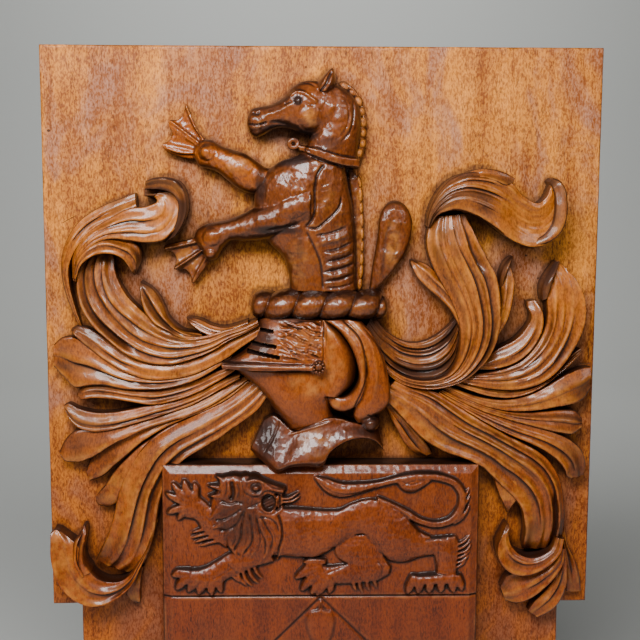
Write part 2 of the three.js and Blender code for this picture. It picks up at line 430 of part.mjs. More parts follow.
let shield = shieldSolid();
const grooveReach = shieldWidth / 2 - grooveInset;
const lozengeFoot = [shieldCentre, lozengeTop - 2 * lozengeRise];
shield = shield.subtract(groove([shieldCentre - grooveReach, chiefLine], [shieldCentre + grooveReach, chiefLine]));
for (const side of [-1, 1]) {
  const corner = [shieldCentre + side * lozengeSpread, lozengeTop - lozengeRise];
  shield = shield.subtract(groove([shieldCentre, lozengeTop], corner)).subtract(groove(corner, lozengeFoot));
}
panel = panel.add(shield);

for (const [name, { section, rows }] of Object.entries(shieldFigures)) {
  panel = panel.add(form(rows, sections[section], ground - shieldFace, 1, name === "lozengeLeaf" ? onLozenge : onChief));
}
for (const { section, rows } of Object.values(crest)) {
  panel = panel.add(form(rows, sections[section], ground, reliefScale, onPanel));
}
panel = panel.add(ringPost(collarRing)).add(ring(collarRing));
for (const boss of studs) {
  panel = panel.add(stud(boss));
}
for (const cut of visorSlots) {
  panel = panel.subtract(slot(cut));
}

function toGeometry(solid) {
  const mesh = solid.getMesh();
  const geometry = new THREE.BufferGeometry();
  const positions = new Float32Array(mesh.vertProperties.length);
  positions.set(mesh.vertProperties);
  geometry.setAttribute("position", new THREE.BufferAttribute(positions, 3));
  geometry.setIndex(new THREE.BufferAttribute(new Uint32Array(mesh.triVerts), 1));
  geometry.computeVertexNormals();
  return geometry;
}

const wood = new THREE.MeshStandardMaterial({ color: 0x8a4a1e, roughness: 0.42, metalness: 0 });
const carvedPanel = new THREE.Mesh(toGeometry(panel), wood);
carvedPanel.name = "carved_panel";

const coatOfArms = new THREE.Group();
coatOfArms.add(carvedPanel);
export default coatOfArms;
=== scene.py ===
# Carved coat of arms: one brown wooden panel with shield, helmet, sea-horse crest and mantling.
# All tables are in millimetres in the frame's own axes: x right, z up, the board's back on y = 0.
import math
import bpy
import numpy as np
from mathutils import Matrix, Vector


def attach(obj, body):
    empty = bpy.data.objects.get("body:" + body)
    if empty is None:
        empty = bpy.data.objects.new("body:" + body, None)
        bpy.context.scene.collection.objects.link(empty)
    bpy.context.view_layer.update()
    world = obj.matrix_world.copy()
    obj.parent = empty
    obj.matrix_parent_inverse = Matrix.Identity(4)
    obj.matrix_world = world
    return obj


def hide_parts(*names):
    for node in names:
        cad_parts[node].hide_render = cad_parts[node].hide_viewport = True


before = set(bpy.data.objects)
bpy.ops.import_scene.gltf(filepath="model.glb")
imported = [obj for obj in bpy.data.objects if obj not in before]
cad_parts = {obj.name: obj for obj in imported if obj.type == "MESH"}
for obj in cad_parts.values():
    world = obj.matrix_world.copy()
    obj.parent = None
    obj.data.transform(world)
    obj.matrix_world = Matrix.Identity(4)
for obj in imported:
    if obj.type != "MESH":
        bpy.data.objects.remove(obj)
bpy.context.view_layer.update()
print("frame loaded")

mm = 0.001
boardFront = -28.0          # y of the board's front
sunk = 3.0                  # how far a carved form reaches into what carries it


def addObject(name, data):
    made = bpy.data.objects.new(name, data)
    bpy.context.scene.collection.objects.link(made)
    return made


# camera
cameraSettings = {"place": (-34.6, -1295.4, 179.5), "pitch": -0.1298, "turn": -0.0255, "roll": -0.0037,
                  "lens": 65.8, "sensor": 36, "clip": (0.05, 50)}


def addCamera(settings):
    lean = Matrix.Identity(3)
    for part, axis in (("turn", "Z"), ("pitch", "X"), ("roll", "Y")):
        lean = lean @ Matrix.Rotation(settings[part], 3, axis)
    basis = Matrix((lean.col[0], lean.col[2], -lean.col[1])).transposed().to_4x4()
    data = bpy.data.cameras.new("camera")
    data.sensor_width, data.lens = settings["sensor"], settings["lens"]
    data.clip_start, data.clip_end = settings["clip"]
    camera = addObject("camera", data)
    camera.matrix_world = Matrix.Translation(Vector(settings["place"]) * mm) @ basis
    bpy.context.scene.camera = camera


addCamera(cameraSettings)

# Mantling leaves: the flute lines across a leaf (-1 to 1), then rows of
# one edge x, z, the other edge x, z, and the crown's height over the ground.
leftMantling = {
    "upperScrollRim": [(0,),(-261,4,-259,5,8),(-270,28,-265,31,16),(-276,52,-269,53,24),(-277,76,-268,74,31),
        (-270,103,-258,95,34),(-255,124,-243,111,33),(-236,137,-229,120,31),(-214,146,-211,129,29),
        (-199,152,-197,136,25)],
    "upperScroll": [(-.2,.45),(-266,62,-262,61,26),(-263,90,-252,86,35),(-248,111,-239,98,37),(-228,124,-224,103,37),
        (-205,136,-204,101,36),(-187,138.5,-182,99,35),(-178,141.5,-165,104,34),(-176,142.5,-156,114,33),
        (-175.5,143.5,-151,127,32),(-175.5,145,-151,141,30),(-177,146.5,-158,152,28),(-179,147.5,-172,154,25)],
    "upperScrollRoll": [(),(-168,100,-165,104,28),(-157,106,-159,113,34),(-149,116,-155,121,38),
        (-144,127,-152.5,131,40),(-142,140,-152,142,42),(-144,153,-156,150,43),(-151,164,-163,154,43),
        (-164,169,-171,156,42),(-176,168.5,-178,156,40),(-186,165,-187,156,34)],
    "upperScrollLip": [(),(-150,136,-157,133,27),(-152,148,-161,144,27),(-161,155,-168,149,26),
        (-175,156,-178,148.5,24),(-189,156,-189,148,20)],
    "upperHook": [(.1,),(-266,60,-263,58,24),(-259,84,-254,77,36),(-250,97,-243,85,38),(-238,105,-232,88,38),
        (-226,107,-220,87,37),(-213,105,-211,82,35),(-201,102,-207,76,33),(-194,93,-204,70,31),(-194,80,-202,66,27),
        (-198,70,-201,64,20)],
    "fan": [(-.3,.05,.6),(-70,19,-68,12,36),(-86,12,-83,4,36),(-105,7,-100,-4,35),(-125,1,-117,-15,34),
        (-145,0,-138,-24,33),(-165,6,-162,-31,32),(-183,18,-188,-30,31),(-196,30,-212,-20,31),(-206,40,-232,-4,30),
        (-214,52,-249,13,29),(-219,62,-259,30,27),(-222,73,-263,50,25),(-223,84,-261,68,22),(-226,92,-252,84,18)],
    "fanInnerLeaf": [(0,),(-130,2,-126,-6,26),(-152,8,-146,-4,30),(-164,19,-163,3,30),(-170,33,-181,13,29),
        (-176,44,-191,26,27),(-184,52.5,-195,40,25),(-192,57,-195.5,51,22),(-194.5,58,-195.5,56,18)],
    "fanSmallLeaf": [(.1,),(-80,17,-80,12,30),(-95,12,-95,5,32),(-107,10,-110,-1,31),(-119,12.5,-124,1,29),
        (-131,18,-136,7,26),(-140,19.5,-143,13,22),(-146.5,19,-146,17,16)],
    "leaf1": [(.1,),(-66,12,-70,-1,30),(-84,3,-84,-10,31),(-102,-5,-101,-23,31),(-120,-17,-117,-32,30),
        (-140,-25,-136,-41,29),(-162,-29,-160,-47,28),(-186,-28,-188,-47.5,27),(-208,-20,-213,-40,26),
        (-226,-9,-234,-28,24),(-243,3,-250,-16,22),(-256,9,-262,-6,20),(-266,9,-269,1,16),(-270,7,-271,4,12)],
    "leaf2": [(0,),(-96,-20,-100,-25,27),(-118,-31,-118,-38,28),(-138,-40,-138,-49,28),(-162,-44,-162,-57,27),
        (-190,-44,-190,-60,26),(-214,-37,-214,-59,25),(-236,-24,-236,-55,24),(-254,-10,-254,-56,22),
        (-268,-2,-268,-58,19),(-280,-3,-279,-48,16),(-290,-11,-290.5,-36,13)],
    "leaf3": [(0,),(-92,-32,-96,-40,24),(-112,-38,-114,-51,25),(-134,-48,-134,-62,25),(-158,-56,-158,-71,25),
        (-182,-60,-184,-76,24),(-205,-59,-207,-73,23),(-228,-55,-228,-70,22),(-248,-53,-250,-69.5,20),
        (-260,-57,-262,-71,17),(-265,-63,-265,-68,14)],
    "leaf4": [(.3,),(-88,-38,-90,-48,23),(-113,-50,-113,-61,24),(-134,-61,-136,-74,24),(-158,-70,-159,-83,24),
        (-182,-75,-182,-91,24),(-205,-80,-205,-98,24),(-228,-84,-228,-104,24),(-248,-84,-250,-106,23),
        (-265,-80,-266,-102,20),(-276,-75,-276,-92,16),(-281,-78,-280,-82,12)],
    "leaf5": [(),(-80,-42,-82,-51,22),(-104,-55,-103,-67,23),(-125,-68,-125,-80,24),(-148,-78,-148,-90,24),
        (-170,-86,-170,-96,24),(-192,-93,-192,-103,24),(-213,-99,-213,-113,24),(-233,-102,-233,-124,23),
        (-252,-103,-252,-136,21),(-270,-106,-270,-141,18),(-281,-117,-281,-140,15),(-287,-129,-286,-134,12)],
    "leaf6": [(),(-80,-46,-80,-52,21),(-103,-63,-101,-69,22),(-125,-76,-123,-81,22),(-150,-86,-147,-91,22),
        (-175,-94,-172,-103,21),(-198,-102,-194,-117,20),(-218,-113,-211,-132,18),(-237,-125,-228,-147,16),
        (-252,-136,-240,-158,13),(-259,-152,-254,-164,9)],
    "leaf7": [(),(-152,-96,-148,-103,19),(-180,-110,-170,-119,21),(-198,-122,-185,-134,21),(-212,-135,-198,-147,21),
        (-226,-150,-208,-160,20),(-237,-166,-216,-173,19),(-248,-181,-222,-184,17),(-247,-189,-227,-189,14),
        (-240,-192.5,-234,-192.5,10)],
    "longTail": [(-.1,.5),(-70,-44,-56,-62,22),(-84,-54,-68,-80,24),(-103,-70,-88,-96,25),(-125,-81,-110,-112,26),
        (-147,-91,-131,-125,26),(-168,-101,-150,-137,27),(-186,-114,-164,-152,27),(-200,-130,-172,-170,27),
        (-212,-149,-177,-187,27),(-221,-170,-180,-205,26),(-227,-195,-184,-224,26),(-234,-219,-190,-243,25),
        (-243,-238,-199,-258,22),(-250,-252,-213,-267,16)],
    "tailCurl": [(.05,),(-183,-205,-179,-203,22),(-194,-239,-190,-236,27),(-203,-253,-199,-257,29),
        (-213,-266,-210,-278,31),(-224,-272,-223,-290,32),(-237,-272,-238,-298,33),(-248,-266,-256,-299,34),
        (-256,-256,-273,-291,34),(-260,-247,-287,-276,33),(-262,-239,-294,-259,32),(-267,-231,-297,-243,30),
        (-272,-227,-297,-228,28),(-279,-222,-297,-219,25),(-287,-216,-294,-215,21)],
    "tailCurlProng": [(.1,),(-252,-260,-266,-268,30),(-259,-248,-273,-250,30),(-260,-236,-273,-236,29),
        (-258,-226,-271,-226,27),(-257,-217,-265,-218,23),(-259,-212,-262,-211,18)],
    "tailCurlLip": [(),(-250,-292,-250,-300,24),(-264,-288,-264,-297,24),(-277,-280,-278,-288,22),
        (-289,-273,-288,-283,19),(-293,-278,-292,-281,15)],
    "tailDrop": [(),(-203,-262,-197,-261,10),(-209,-275,-200,-275,11),(-216,-286,-201,-288,11),
        (-217,-295,-201,-297,10),(-211,-302,-202,-303,9),(-206,-304.5,-203,-304.5,7)],
}
rightMantling = {
    "crownLeaf": [(-.6,-.3,.05,.4),(110,118,113,116,30),(111,132,119,128,36),(118,150,128,133,40),
        (131,166,140,135,43),(147,174,153,132,45),(165,175,167,125,45),(184,170,180,117,45),(199,163,193,107,43),
        (208,153,206,100,40),(218,146,221,96,38),(227,143,237,99,36),(233,146,249,109,35),(238,153,255,124,34),
        (240,159,256,139,32),(241,162,251,153,29),(242,164,245,163,24)],
    "crownTip": [(),(148,173,152,166,38),(160,178,166,168,43),(178,178,181,164,44),(192,174,191,160,43),
        (201,169,199,163,38)],
    "crownCurl": [(),(224,104,228,97,35),(234,110,241,102,38),(241,119,251,110.5,40),(244,131,257,126,41),
        (244.5,144,258,143,39),(243.5,154,256,158,37),(241,161,250,167,34),(239.5,165,244,169.5,28)],
    "strapTrough": [(-.62,-.2,.25,.62),(54,22,44,6,24),(66,7,52,-8,22),(78,-2,64,-24,19),(92,-8,80,-39,17),
        (108,-8,102,-48,16),(122,-2,126,-46,17),(134,7,140,-34,18),(142,16,147,-14,20),(148,26,151,8,20)],
    "strap": [(-.5,-.15,.2,.6),(60,-19,57,-25,27),(72,-33,68,-39,28),(88,-43,84,-51,29),(106,-47,106,-57,31),
        (124,-45,130,-56,33),(138,-36,154,-47,35),(145,-20,172,-31,37),(147,0,185,-9,39),(145,18,190,14,40),
        (137,38,190,38,40),(126,58,186,62,39),(116,77,178,79,38),(110,97,167,98,36),(111,113,159,115,33),
        (117,128,151.6,131.2,28)],
    "strapLeftLeaf": [(.1,),(149,-5,155,2,28),(145,12,153,20,31),(137,27,147,34,32),(124,41,137,51,31),
        (110,53,125,65,29),(100,64,113,76,26),(95,75,103,80.5,22),(94,80,97,81.5,17)],
    "strapRightLeaf": [(0,),(162,-34,176,-24,28),(170,-14,186,-8,31),(178,4,191,4,32),(186,22,199,19,31),
        (190,40,204,38,29),(191,56,206.5,54,27),(194,70,204,70,23),(197,80,199,81,17)],
    "strapRightFold": [(),(189,52,194,54,24),(189.5,62,196,65,28),(192,72,199,74,28),(197,81,203,82,23),
        (202,85,205,85.5,18)],
    "wave": [(-.5,-.05,.4),(148,-42,146,-50,24),(164,-41,162,-54,28),(183,-39,184,-58,30),(202,-34,209,-59,31),
        (218,-25,232,-54,32),(231,-10,251,-42,32),(239,6,266,-24,32),(242,22,277,-3,32),(241,38,283,20,31),
        (242,50,282,40,29),(244,62,275,57,26),(248,74,264,71,21),(252,81,255,80,15)],
    "waveFold": [(),(236,38,243,42,26),(234,48,244,51,31),(236,58,246,60,32),(242,69,251,70,28),(250,80,255,80,20)],
    "waveHook": [(.15,),(160,-28,158,-36,24),(177,-22,176,-38,26),(192,-13,197,-36,27),(207,-5,216,-27,27),
        (218,6,230,-12,27),(224,16,237,3,26),(224,25,239,19,25),(221,31,236,31,22),(221,36,231,38,18)],
    "leaf8": [(0,),(146,-49,145,-55,24),(165,-54,165,-62,26),(185,-58,185,-67,27),(207,-59,206,-68,27),
        (229,-54,226,-63,27),(249,-43,243,-54,26),(264,-29,258,-42,24),(274,-19,272,-30,22),(281,-15,282,-20,18)],
    "leaf9": [(.1,),(134,-53,133,-58,24),(155,-62,154,-68,26),(176,-68,176,-77,27),(197,-70,199,-82,28),
        (218,-67,222,-83,28),(238,-59,244,-81,27),(255,-49,262,-78,26),(270,-41,276,-75,24),(284,-36,286,-70,22),
        (293,-35,293,-60,19)],
    "leaf10": [(.05,),(131,-57,130,-61,24),(152,-67,151,-72,26),(174,-76,172,-82,27),(198,-82,195,-90,28),
        (222,-84,216,-97,28),(245,-83,238,-103,28),(264,-82,258,-108,27),(278,-84,273,-110,25),(285,-92,284,-103,21)],
    "leaf11": [(.2,),(128,-60,126,-63,25),(149,-71,146,-76,26),(171,-81,167,-89,27),(194,-89,188,-101,28),
        (216,-96,208,-111,28),(238,-102,227,-119,28),(257,-108,244,-128,27),(273,-116,257,-138,26),
        (285,-128,266,-149,25),(290,-143,269,-157,22),(289,-156,273,-160,19)],
    "longStrap": [(-.6,-.2,.3),(80,-47,62,-66,28),(100,-55,75,-78,29),(122,-61,91,-95,30),(143,-73,110,-114,30),
        (164,-87,133,-128,30),(184,-99,156,-136,30),(203,-110,176,-146,29),(221,-119,190,-160,29),
        (238,-129,203,-172,29),(252,-142,214,-184,28),(262,-160,220,-195,28),(267,-182,223,-209,27),
        (269,-206,224,-222,25),(267,-226,223,-234,22),(264,-240,224,-241,16)],
    "strapDrop": [(),(200,-138,178,-142,25),(212,-155,187,-156,25),(217,-168,191,-168,24),(217,-180,196,-180,23),
        (212,-190,201,-190,20),(208,-199,205,-199,14)],
    "strapCurl": [(-.2,),(258,-224,268,-226,28),(253,-236,264,-241,31),(243,-243,254,-253,33),(231,-246,239,-263,34),
        (219,-243,221,-267,34),(211,-236,205,-262,33),(207,-228,195,-249,32),(206,-220,193,-234,30),
        (207,-213,199,-220,27),(206,-210,203,-212,22)],
    "lowerLeaf": [(.2,),(262,-236,269,-238,27),(256,-247,268,-254,28),(245,-256,259,-271,28),(231,-263,247,-285,27),
        (217,-266,235,-296,25),(206,-272,219,-303,22),(200,-284,206,-301,18)],
    "lowestLeaf": [(-.1,),(264,-238,270,-238,23),(264,-257,273,-260,24),(259,-274,273,-282,23),(249,-289,267,-300,22),
        (238,-302,256,-313,20),(232,-313,244,-321,16)],
    "thinTail": [(0,),(266,-212,270,-212,14),(268,-236,274,-234,16),(270,-256,283,-252,16),(273,-277,290,-274,14),
        (276,-293,293,-292,10)],
    "sideLeaf": [(.1,),(73,-75,69,-80,18),(85,-87,75,-92,20),(97,-99,82,-105,20),(108,-112,90,-119,18),
        (118,-124,101,-131,15),(122,-133,113,-136,11)],
}

# Crest and helmet: the kind of section, then rows of the same form.
beastForms = {
    "spoonTail": ["hollow",(50,46,60,50,14),(52,62,71,62,17),(54,78,83,78,19),(57,95,91,93,21),(59,110,95,110,22),
        (60,124,95.5,124,22),(64,136,91,136,20),(70,142.5,85,142.5,15),(74,144.5,81,144.5,10)],
    "backFin": ["flat",(21,179,35,178,12),(24,168,39,166,13),(28,152,41,151,13),(32,132,42,131,13),(34,112,43,112,13),
        (35,90,43,90,13),(36,70,41,70,13),(37,50,42,50,12)],
    "maneFin": ["flat",(15,264,18,267,16),(24,259,29,265,16),(32,250,37,256,16),(37,238,42,243,15),(39,226,45,229,15),
        (37,212,44,213,14),(36,199,44,199,14),(35,190,41,190,12)],
    "farArm": ["round",(-48,184,-62,150,26),(-59,179,-73,151,30),(-69,185,-82,153,32),(-82,193.5,-92,158,32),
        (-96,198,-102,166,31),(-108,202,-112,174,30),(-118,208,-122,177.5,29),(-127,208,-131,180,25),
        (-135,203,-137,189,18)],
    "farHand": ["web",(-121,206,-124,209,14),(-124,208,-131,215,14),(-126,208,-138,226,14),(-128,207,-145,246,15.5),
        (-129,206,-149,233,12.8),(-130,205,-154,229,12.8),(-131,203,-163,228,15.5),(-132,202,-163,222,15.5),
        (-133,200,-160,214,12.8),(-134,198,-163,207,12.8),(-135,196,-171,203,15.5),(-135,194,-168,197,15),
        (-135,192,-156,191,13),(-134,189,-140,187.5,13)],
    "torso": ["round",(-35,48,37,48,30),(-37,68,36,68,32),(-43,85,36,86,34),(-56,98,35,104,36),(-68,118,34,122,39),
        (-73,140,31,140,41),(-70,160,27,158,42),(-59,176,25,170,41),(-45,186,24,179,39),(-25,193,30,185,36),
        (-18,200,32,191,34)],
    "neck": ["round",(-17,197,36,188,33),(-17,203,37,199,34),(-14,210,39,212,35),(-8,218,40,226,35),
        (-4,228,39,239,34),(-2,240,33,252,32),(0,254,22,262,28),(4,262,14,267,22)],
    "head": ["round",(22,216,24,258,31),(2,214,4,267,35),(-14,213,-10,270,37),(-26,216,-24,268,37),
        (-33,219,-34,262,36),(-43,220.5,-42,252,33),(-53,218.5,-53,246,31),(-63,213,-62,243.5,30),
        (-71,210.5,-70,242,29),(-77,214,-76,240,27),(-80,221,-80,234,23)],
    "ear": ["round",(-8,262,5,255,37),(-5,270,13,266,38),(1,277,12.5,274,35),(8,283,10.5,282,28)],
    "collar": ["flat",(-18,194,-19,201,36),(-8,190,-7,200,40),(5,185,8,195,41),(22,180,24,191,39),(38,178,38,190,33)],
    "ringLink": ["flat",(-27,203,-25,196,26),(-17,202,-16,194,30)],
    "nearArm": ["round",(-14,165,-14,118,46),(-35,156,-32,114,46),(-54,145,-50,106,43),(-72,137,-68,102,39),
        (-88,129.5,-84,101,35),(-102,124,-98,101,32),(-116,121,-106,94,32),(-127,118,-112,85,31),
        (-135,112,-118,80,27),(-138,104,-125,86,20)],
    "nearHand": ["web",(-137,104,-169,96.5,15.5),(-134,101,-170.5,92,15.5),(-131,97,-160,88,12.8),
        (-129,94,-157,80,12.8),(-128,92,-160,70,15.5),(-126,90,-150,71,12.8),(-125,87,-143.5,66,12.8),
        (-124,85,-140,54.5,15.5),(-120,83,-131,64,14),(-117,82,-123,78,14)],
}
helmetForms = {
    "visor": ["round",(-68,20,2,20,34),(-70,12,10,13,40),(-74,0,22,2,44),(-80,-11,31,-10,46),(-94,-21,36,-22,46),
        (-107,-27,38,-32,44)],
    "bevor": ["round",(-106,-29,37,-31,41),(-92,-39,37.4,-42,41),(-79,-49,33,-54,41),(-68,-59,22,-63,41),
        (-60,-69,12,-70,40),(-53,-80,10,-80,38),(-46,-89,12,-88,36),(-40,-98,16,-93,33),(-38,-104,20,-97,30)],
    "rim": ["flat",(-108,-27,-107,-33,44),(-90,-26.5,-88,-34,49),(-60,-26,-60,-35,50),(-30,-27,-30,-34.5,50),
        (-8,-28,-8,-35,49)],
    "gorget": ["flare",(-64,-94,-79,-126,22),(-53,-88,-70,-134,28),(-42,-95,-58,-143,37),(-32,-103,-50,-148,42),
        (-20,-99,-36,-142,46),(-7,-93.5,-18,-140,48),(6,-88,0,-140,47),(18,-89,8,-127,44),(30,-93,28,-114,40),
        (42,-96,45,-111.5,37),(52,-98,54,-114,34),(58,-100,61,-119,30),(62,-103,68,-129,25)],
    "drapeInner": ["swell",(1,18,22,20,38),(11,12,31,13,42),(20,4,38.5,4,45),(28,-7,43,-8,47),(33.5,-19,45,-21,48),
        (37,-31,45.8,-36,48),(38.3,-43,44.5,-52,47),(34.5,-54,40,-66,45),(27.5,-61.5,32,-77,42),(19,-64.5,20,-81,39),
        (12,-62,10,-77,37),(7,-57.5,5,-66,34)],
    "drapeOuter": ["swell",(20,20,41,17,36),(33,8,51,6,40),(41,-4,59,-8,43),(43.5,-20,65.5,-22,44),(45,-38,70,-40,43),
        (43,-54,72.5,-56,42),(38,-68,72,-70,41),(34,-77,66,-80,39),(33.5,-87,56,-86,36),(38,-95,46,-93,30)],
    "capSide": ["round",(-3,19,4,18,36),(-4,8,17,8,43),(-4,-5,28,-6,46),(-4,-20,35,-20,46.5),(-4,-34,37,-35,46),
        (-4,-50,33,-52,44.5),(-4,-64,20,-65,42)],
}

# The lion on the chief and the leaf in the lozenge, heights over the shield's face.
lionForms = {
    "lionBody": ["round",(-60,-190,-62,-238,8),(-45,-187,-45,-240,9),(-25,-187,-25,-242,10),(-3,-189,-5,-241,9.5),
        (18,-189,12,-232,8),(34,-182,30,-220,5.5),(50,-177.5,46,-217,6),(66,-180,60,-230,7.5),(80,-188,74,-246,8.5),
        (94,-200,92,-248,8),(106,-213,106,-243,7),(118,-219,122,-240,6)],
    "lionHindLeg": ["round",(108,-222,146,-219,6),(121,-238,149,-228,6),(125,-248,148,-245,6),(126,-264,147,-264,6)],
    "lionHindPaw": ["round",(97,-270,99,-274,4),(101,-265,103,-273,6),(110,-262,110,-273,7),(122,-261,122,-273,7.5),
        (138,-261,138,-273,7),(148,-263,149,-273,6),(152,-268,152,-272,4)],
    "lionThigh": ["round",(30,-219,50,-218,1),(14,-233,63,-234,4),(18,-244,70,-246,4.5),(34,-252,76,-256,4.5)],
    "lionFarLeg": ["round",(75,-252,74,-262,4),(66,-247,64,-268,5),(45,-248,45,-271,5),(22,-251,22,-273,5.5),
        (6,-252,8,-272,6),(-4,-250,-2,-270,6),(-10,-252,-9,-264,5)],
    "lionForeleg": ["round",(-58,-232,-52,-247,6),(-80,-236,-74,-253,6.5),(-98,-236,-90,-260,6.5),
        (-112,-244,-104,-267,6.5),(-126,-252,-113,-272,7),(-140,-255,-131,-269,7),(-150,-256,-146,-267,6)],
    "lionRaisedLeg": ["round",(-98,-205,-104,-232,5),(-112,-200,-118,-222,5.5),(-118,-190,-130,-211,6),
        (-124,-182,-137,-200,6),(-132,-175,-148,-197,6.5),(-139,-170,-152,-189,6),(-144,-172,-152,-182,5)],
    "lionMane": ["round",(-112,-165,-66,-168,8),(-120,-180,-56,-190,9),(-120,-195,-50,-198,10),
        (-112,-208,-48,-212,10),(-104,-220,-48,-225,9.5),(-98,-232,-52,-238,8),(-88,-240,-62,-243,6)],
    "lionHead": ["round",(-112,-152,-108,-176,9),(-98,-149,-96,-180,11),(-84,-150,-82,-184,12),(-70,-150,-70,-178,13),
        (-60,-157,-60,-170,12),(-50,-160,-52,-170,11.5),(-40,-163,-43,-172,10.5)],
    "lionJaw": ["round",(-66,-168,-72,-182,9),(-66,-182,-62,-192,9),(-56,-187,-56,-194,9),(-47,-187,-46,-192,8),
        (-42,-184,-43,-188,6)],
    "lionTail": ["round",(60,-174,60,-181,6),(76,-181,73,-187,6),(94,-190,90,-197,6),(109,-199,106,-206,6),
        (125,-202,124,-210,6),(138,-198,141,-206,6),(147,-186,155,-190,6),(148,-173,156,-171,6),(141,-163,147,-157,6),
        (127,-158,130,-150,6),(108,-156,108,-148,6),(85,-159,84,-151,6),(63,-164,61,-157,6),(41,-171,38,-159,7),
        (18,-175,17,-158,7),(2,-168,1,-153,6),(-8,-155,-9,-152,4)],
    "lionTuft": ["round",(80,-153,80,-158,4),(88,-153,88,-168,6),(98,-155,98,-170,6),(110,-156,108,-165,5),
        (118,-154,118,-158,3)],
    "lozengeLeaf": ["round",(-2.5,-293,.5,-293,2),(-3,-302,1,-302,3),(-12,-305,10,-305,3.5),(-16,-315,14,-315,4),
        (-14,-328,12,-328,4),(-8,-342,6,-342,4),(-2,-352,0,-352,3)],
}

# the carver's tools
hashFactors = (374761393, 668265263, 2246822519, 1274126177)


def ramp(s):
    return s * s * (3 - 2 * s)


def ease(value, low, high):
    return ramp(np.clip((value - low) / (high - low), 0, 1))


def bell(s):
    return np.exp(-s ** 2)


def dome(t, power=2):
    return np.sqrt(np.maximum(1 - np.abs(t) ** power, 0))


def softNoise(x, y, seed):
    # smooth lattice noise from -1 to 1
    cellX, cellY = np.floor(x).astype(np.int64), np.floor(y).astype(np.int64)
    u, v = ramp(x - cellX), ramp(y - cellY)

    def corner(i, j):
        n = (i * hashFactors[0] + j * hashFactors[1] + seed * hashFactors[2]) & 0xffffffff
        n = ((n ^ (n >> 13)) * hashFactors[3]) & 0xffffffff
        return ((n ^ (n >> 16)) & 0xffff) / 32767.5 - 1

    low, high = [corner(cellX, cellY + j) * (1 - u) + corner(cellX + 1, cellY + j) * u for j in (0, 1)]
    return low * (1 - v) + high * v


def scoops(x, y, seed):
    # shallow gouge marks, one in each unit cell: 0 at the middle, about .5 on the ridges between
    cellX, cellY = np.floor(x), np.floor(y)
    best = 9.0
    for i in (-1, 0, 1):
        for j in (-1, 0, 1):
            atX, atY = cellX + i, cellY + j
            offX = x - atX - .5 - .36 * softNoise(atX, atY, seed)
            offY = y - atY - .5 - .36 * softNoise(atX, atY, seed + 1)
            best = np.minimum(best, offX ** 2 + offY ** 2)
    return best


def smoothRows(rows, step):
    # a smooth run of rows through the given ones, and each row's place along the form
    knots = np.array(rows, float)
    hops = (np.hypot(*np.diff(knots[:, :2], axis=0).T) + np.hypot(*np.diff(knots[:, 2:4], axis=0).T)) / 2
    places = np.concatenate([[0], np.cumsum(np.maximum(hops, .5))])
    slopes = np.gradient(knots, places, axis=0)
    at = np.linspace(0, places[-1], max(8, int(places[-1] / step)) + 1)[:, None]
    i = np.clip(np.searchsorted(places, at[:, 0], side="right") - 1, 0, len(places) - 2)
    span = (places[i + 1] - places[i])[:, None]
    s = (at - places[i][:, None]) / span
    run = ((2 * s ** 3 - 3 * s ** 2 + 1) * knots[i] + (s ** 3 - 2 * s ** 2 + s) * span * slopes[i]
           + (3 * s ** 2 - 2 * s ** 3) * knots[i + 1] + (s ** 3 - s ** 2) * span * slopes[i + 1])
    return at, run


def smoothLine(points, step=2.0):
    points = np.asarray(points, float)
    if len(points) < 3:
        return points
    return smoothRows(np.column_stack([points, points, np.zeros(len(points))]), step)[1][:, :2]


class Part:
    # points in mm, faces of four, and for each point its dirt with painted shade, its wear with painted sheen and its
    # place along a leaf
    def __init__(self, points, faces, dirt=0, wearAndSheen=0, flow=0):
        self.points, self.faces = np.asarray(points, float), faces
        self.x, self.y, self.z = self.points.T
        self.dirt, self.wearAndSheen = np.zeros(len(points)) + dirt, np.zeros(len(points)) + wearAndSheen
        self.flow = np.zeros((len(points), 3)) + flow


def outward(part):
    a, b, c, d = [part.points[corner] for corner in part.faces.T]
    if np.einsum("ij,ij->i", a, np.cross(b, c)).sum() + np.einsum("ij,ij->i", a, np.cross(c, d)).sum() < 0:
        part.faces = part.faces[:, ::-1]
    return part


def gridQuads(index, wrap=(0, 0), turned=False):
    # faces between neighbours in a grid of point numbers; wrap joins the last row or column to the first
    index = np.pad(index, ((0, wrap[0]), (0, wrap[1])), "wrap")
    quads = np.stack([index[:-1, :-1], index[1:, :-1], index[1:, 1:], index[:-1, 1:]], axis=-1).reshape(-1, 4)
    return quads[:, [0, 3, 2, 1]] if turned else quads


def gridPart(x, y, z, wrap, turned=False):
    x, y, z = np.broadcast_arrays(x, y, z)
    faces = gridQuads(np.arange(x.size).reshape(x.shape), wrap, turned)
    return outward(Part(np.stack([x, y, z], axis=-1).reshape(-1, 3), faces))


def closeForm(top, walls, dirt=0, wearAndSheen=0):
    # top: rows x samples; walls: rows x 5 (second edge's wall and foot, the middle, first edge's foot and wall)
    count, samples = top.shape[:2]
    ring = samples + 5              # even, as samples is odd
    marks = np.zeros((2, count, ring))
    marks[:, :, :samples] = np.stack(np.broadcast_arrays(dirt, wearAndSheen, np.zeros((count, samples)))[:2])
    # painted shade down the walls, full at the foot
    marks[0, :, samples:] = .45, 1, 1, 1, .45
    k = np.arange(ring // 2 - 1)    # the ends: strips between the ring's two halves
    strip = np.stack([k, ring - 1 - k, ring - 2 - k, k + 1], axis=-1)
    faces = [gridQuads(np.arange(count * ring).reshape(count, ring), (0, 1), True),
             strip, strip[:, ::-1] + (count - 1) * ring]
    points = np.concatenate([top, walls], axis=1).reshape(-1, 3)
    return outward(Part(points, np.concatenate(faces), *marks.reshape(2, -1)))


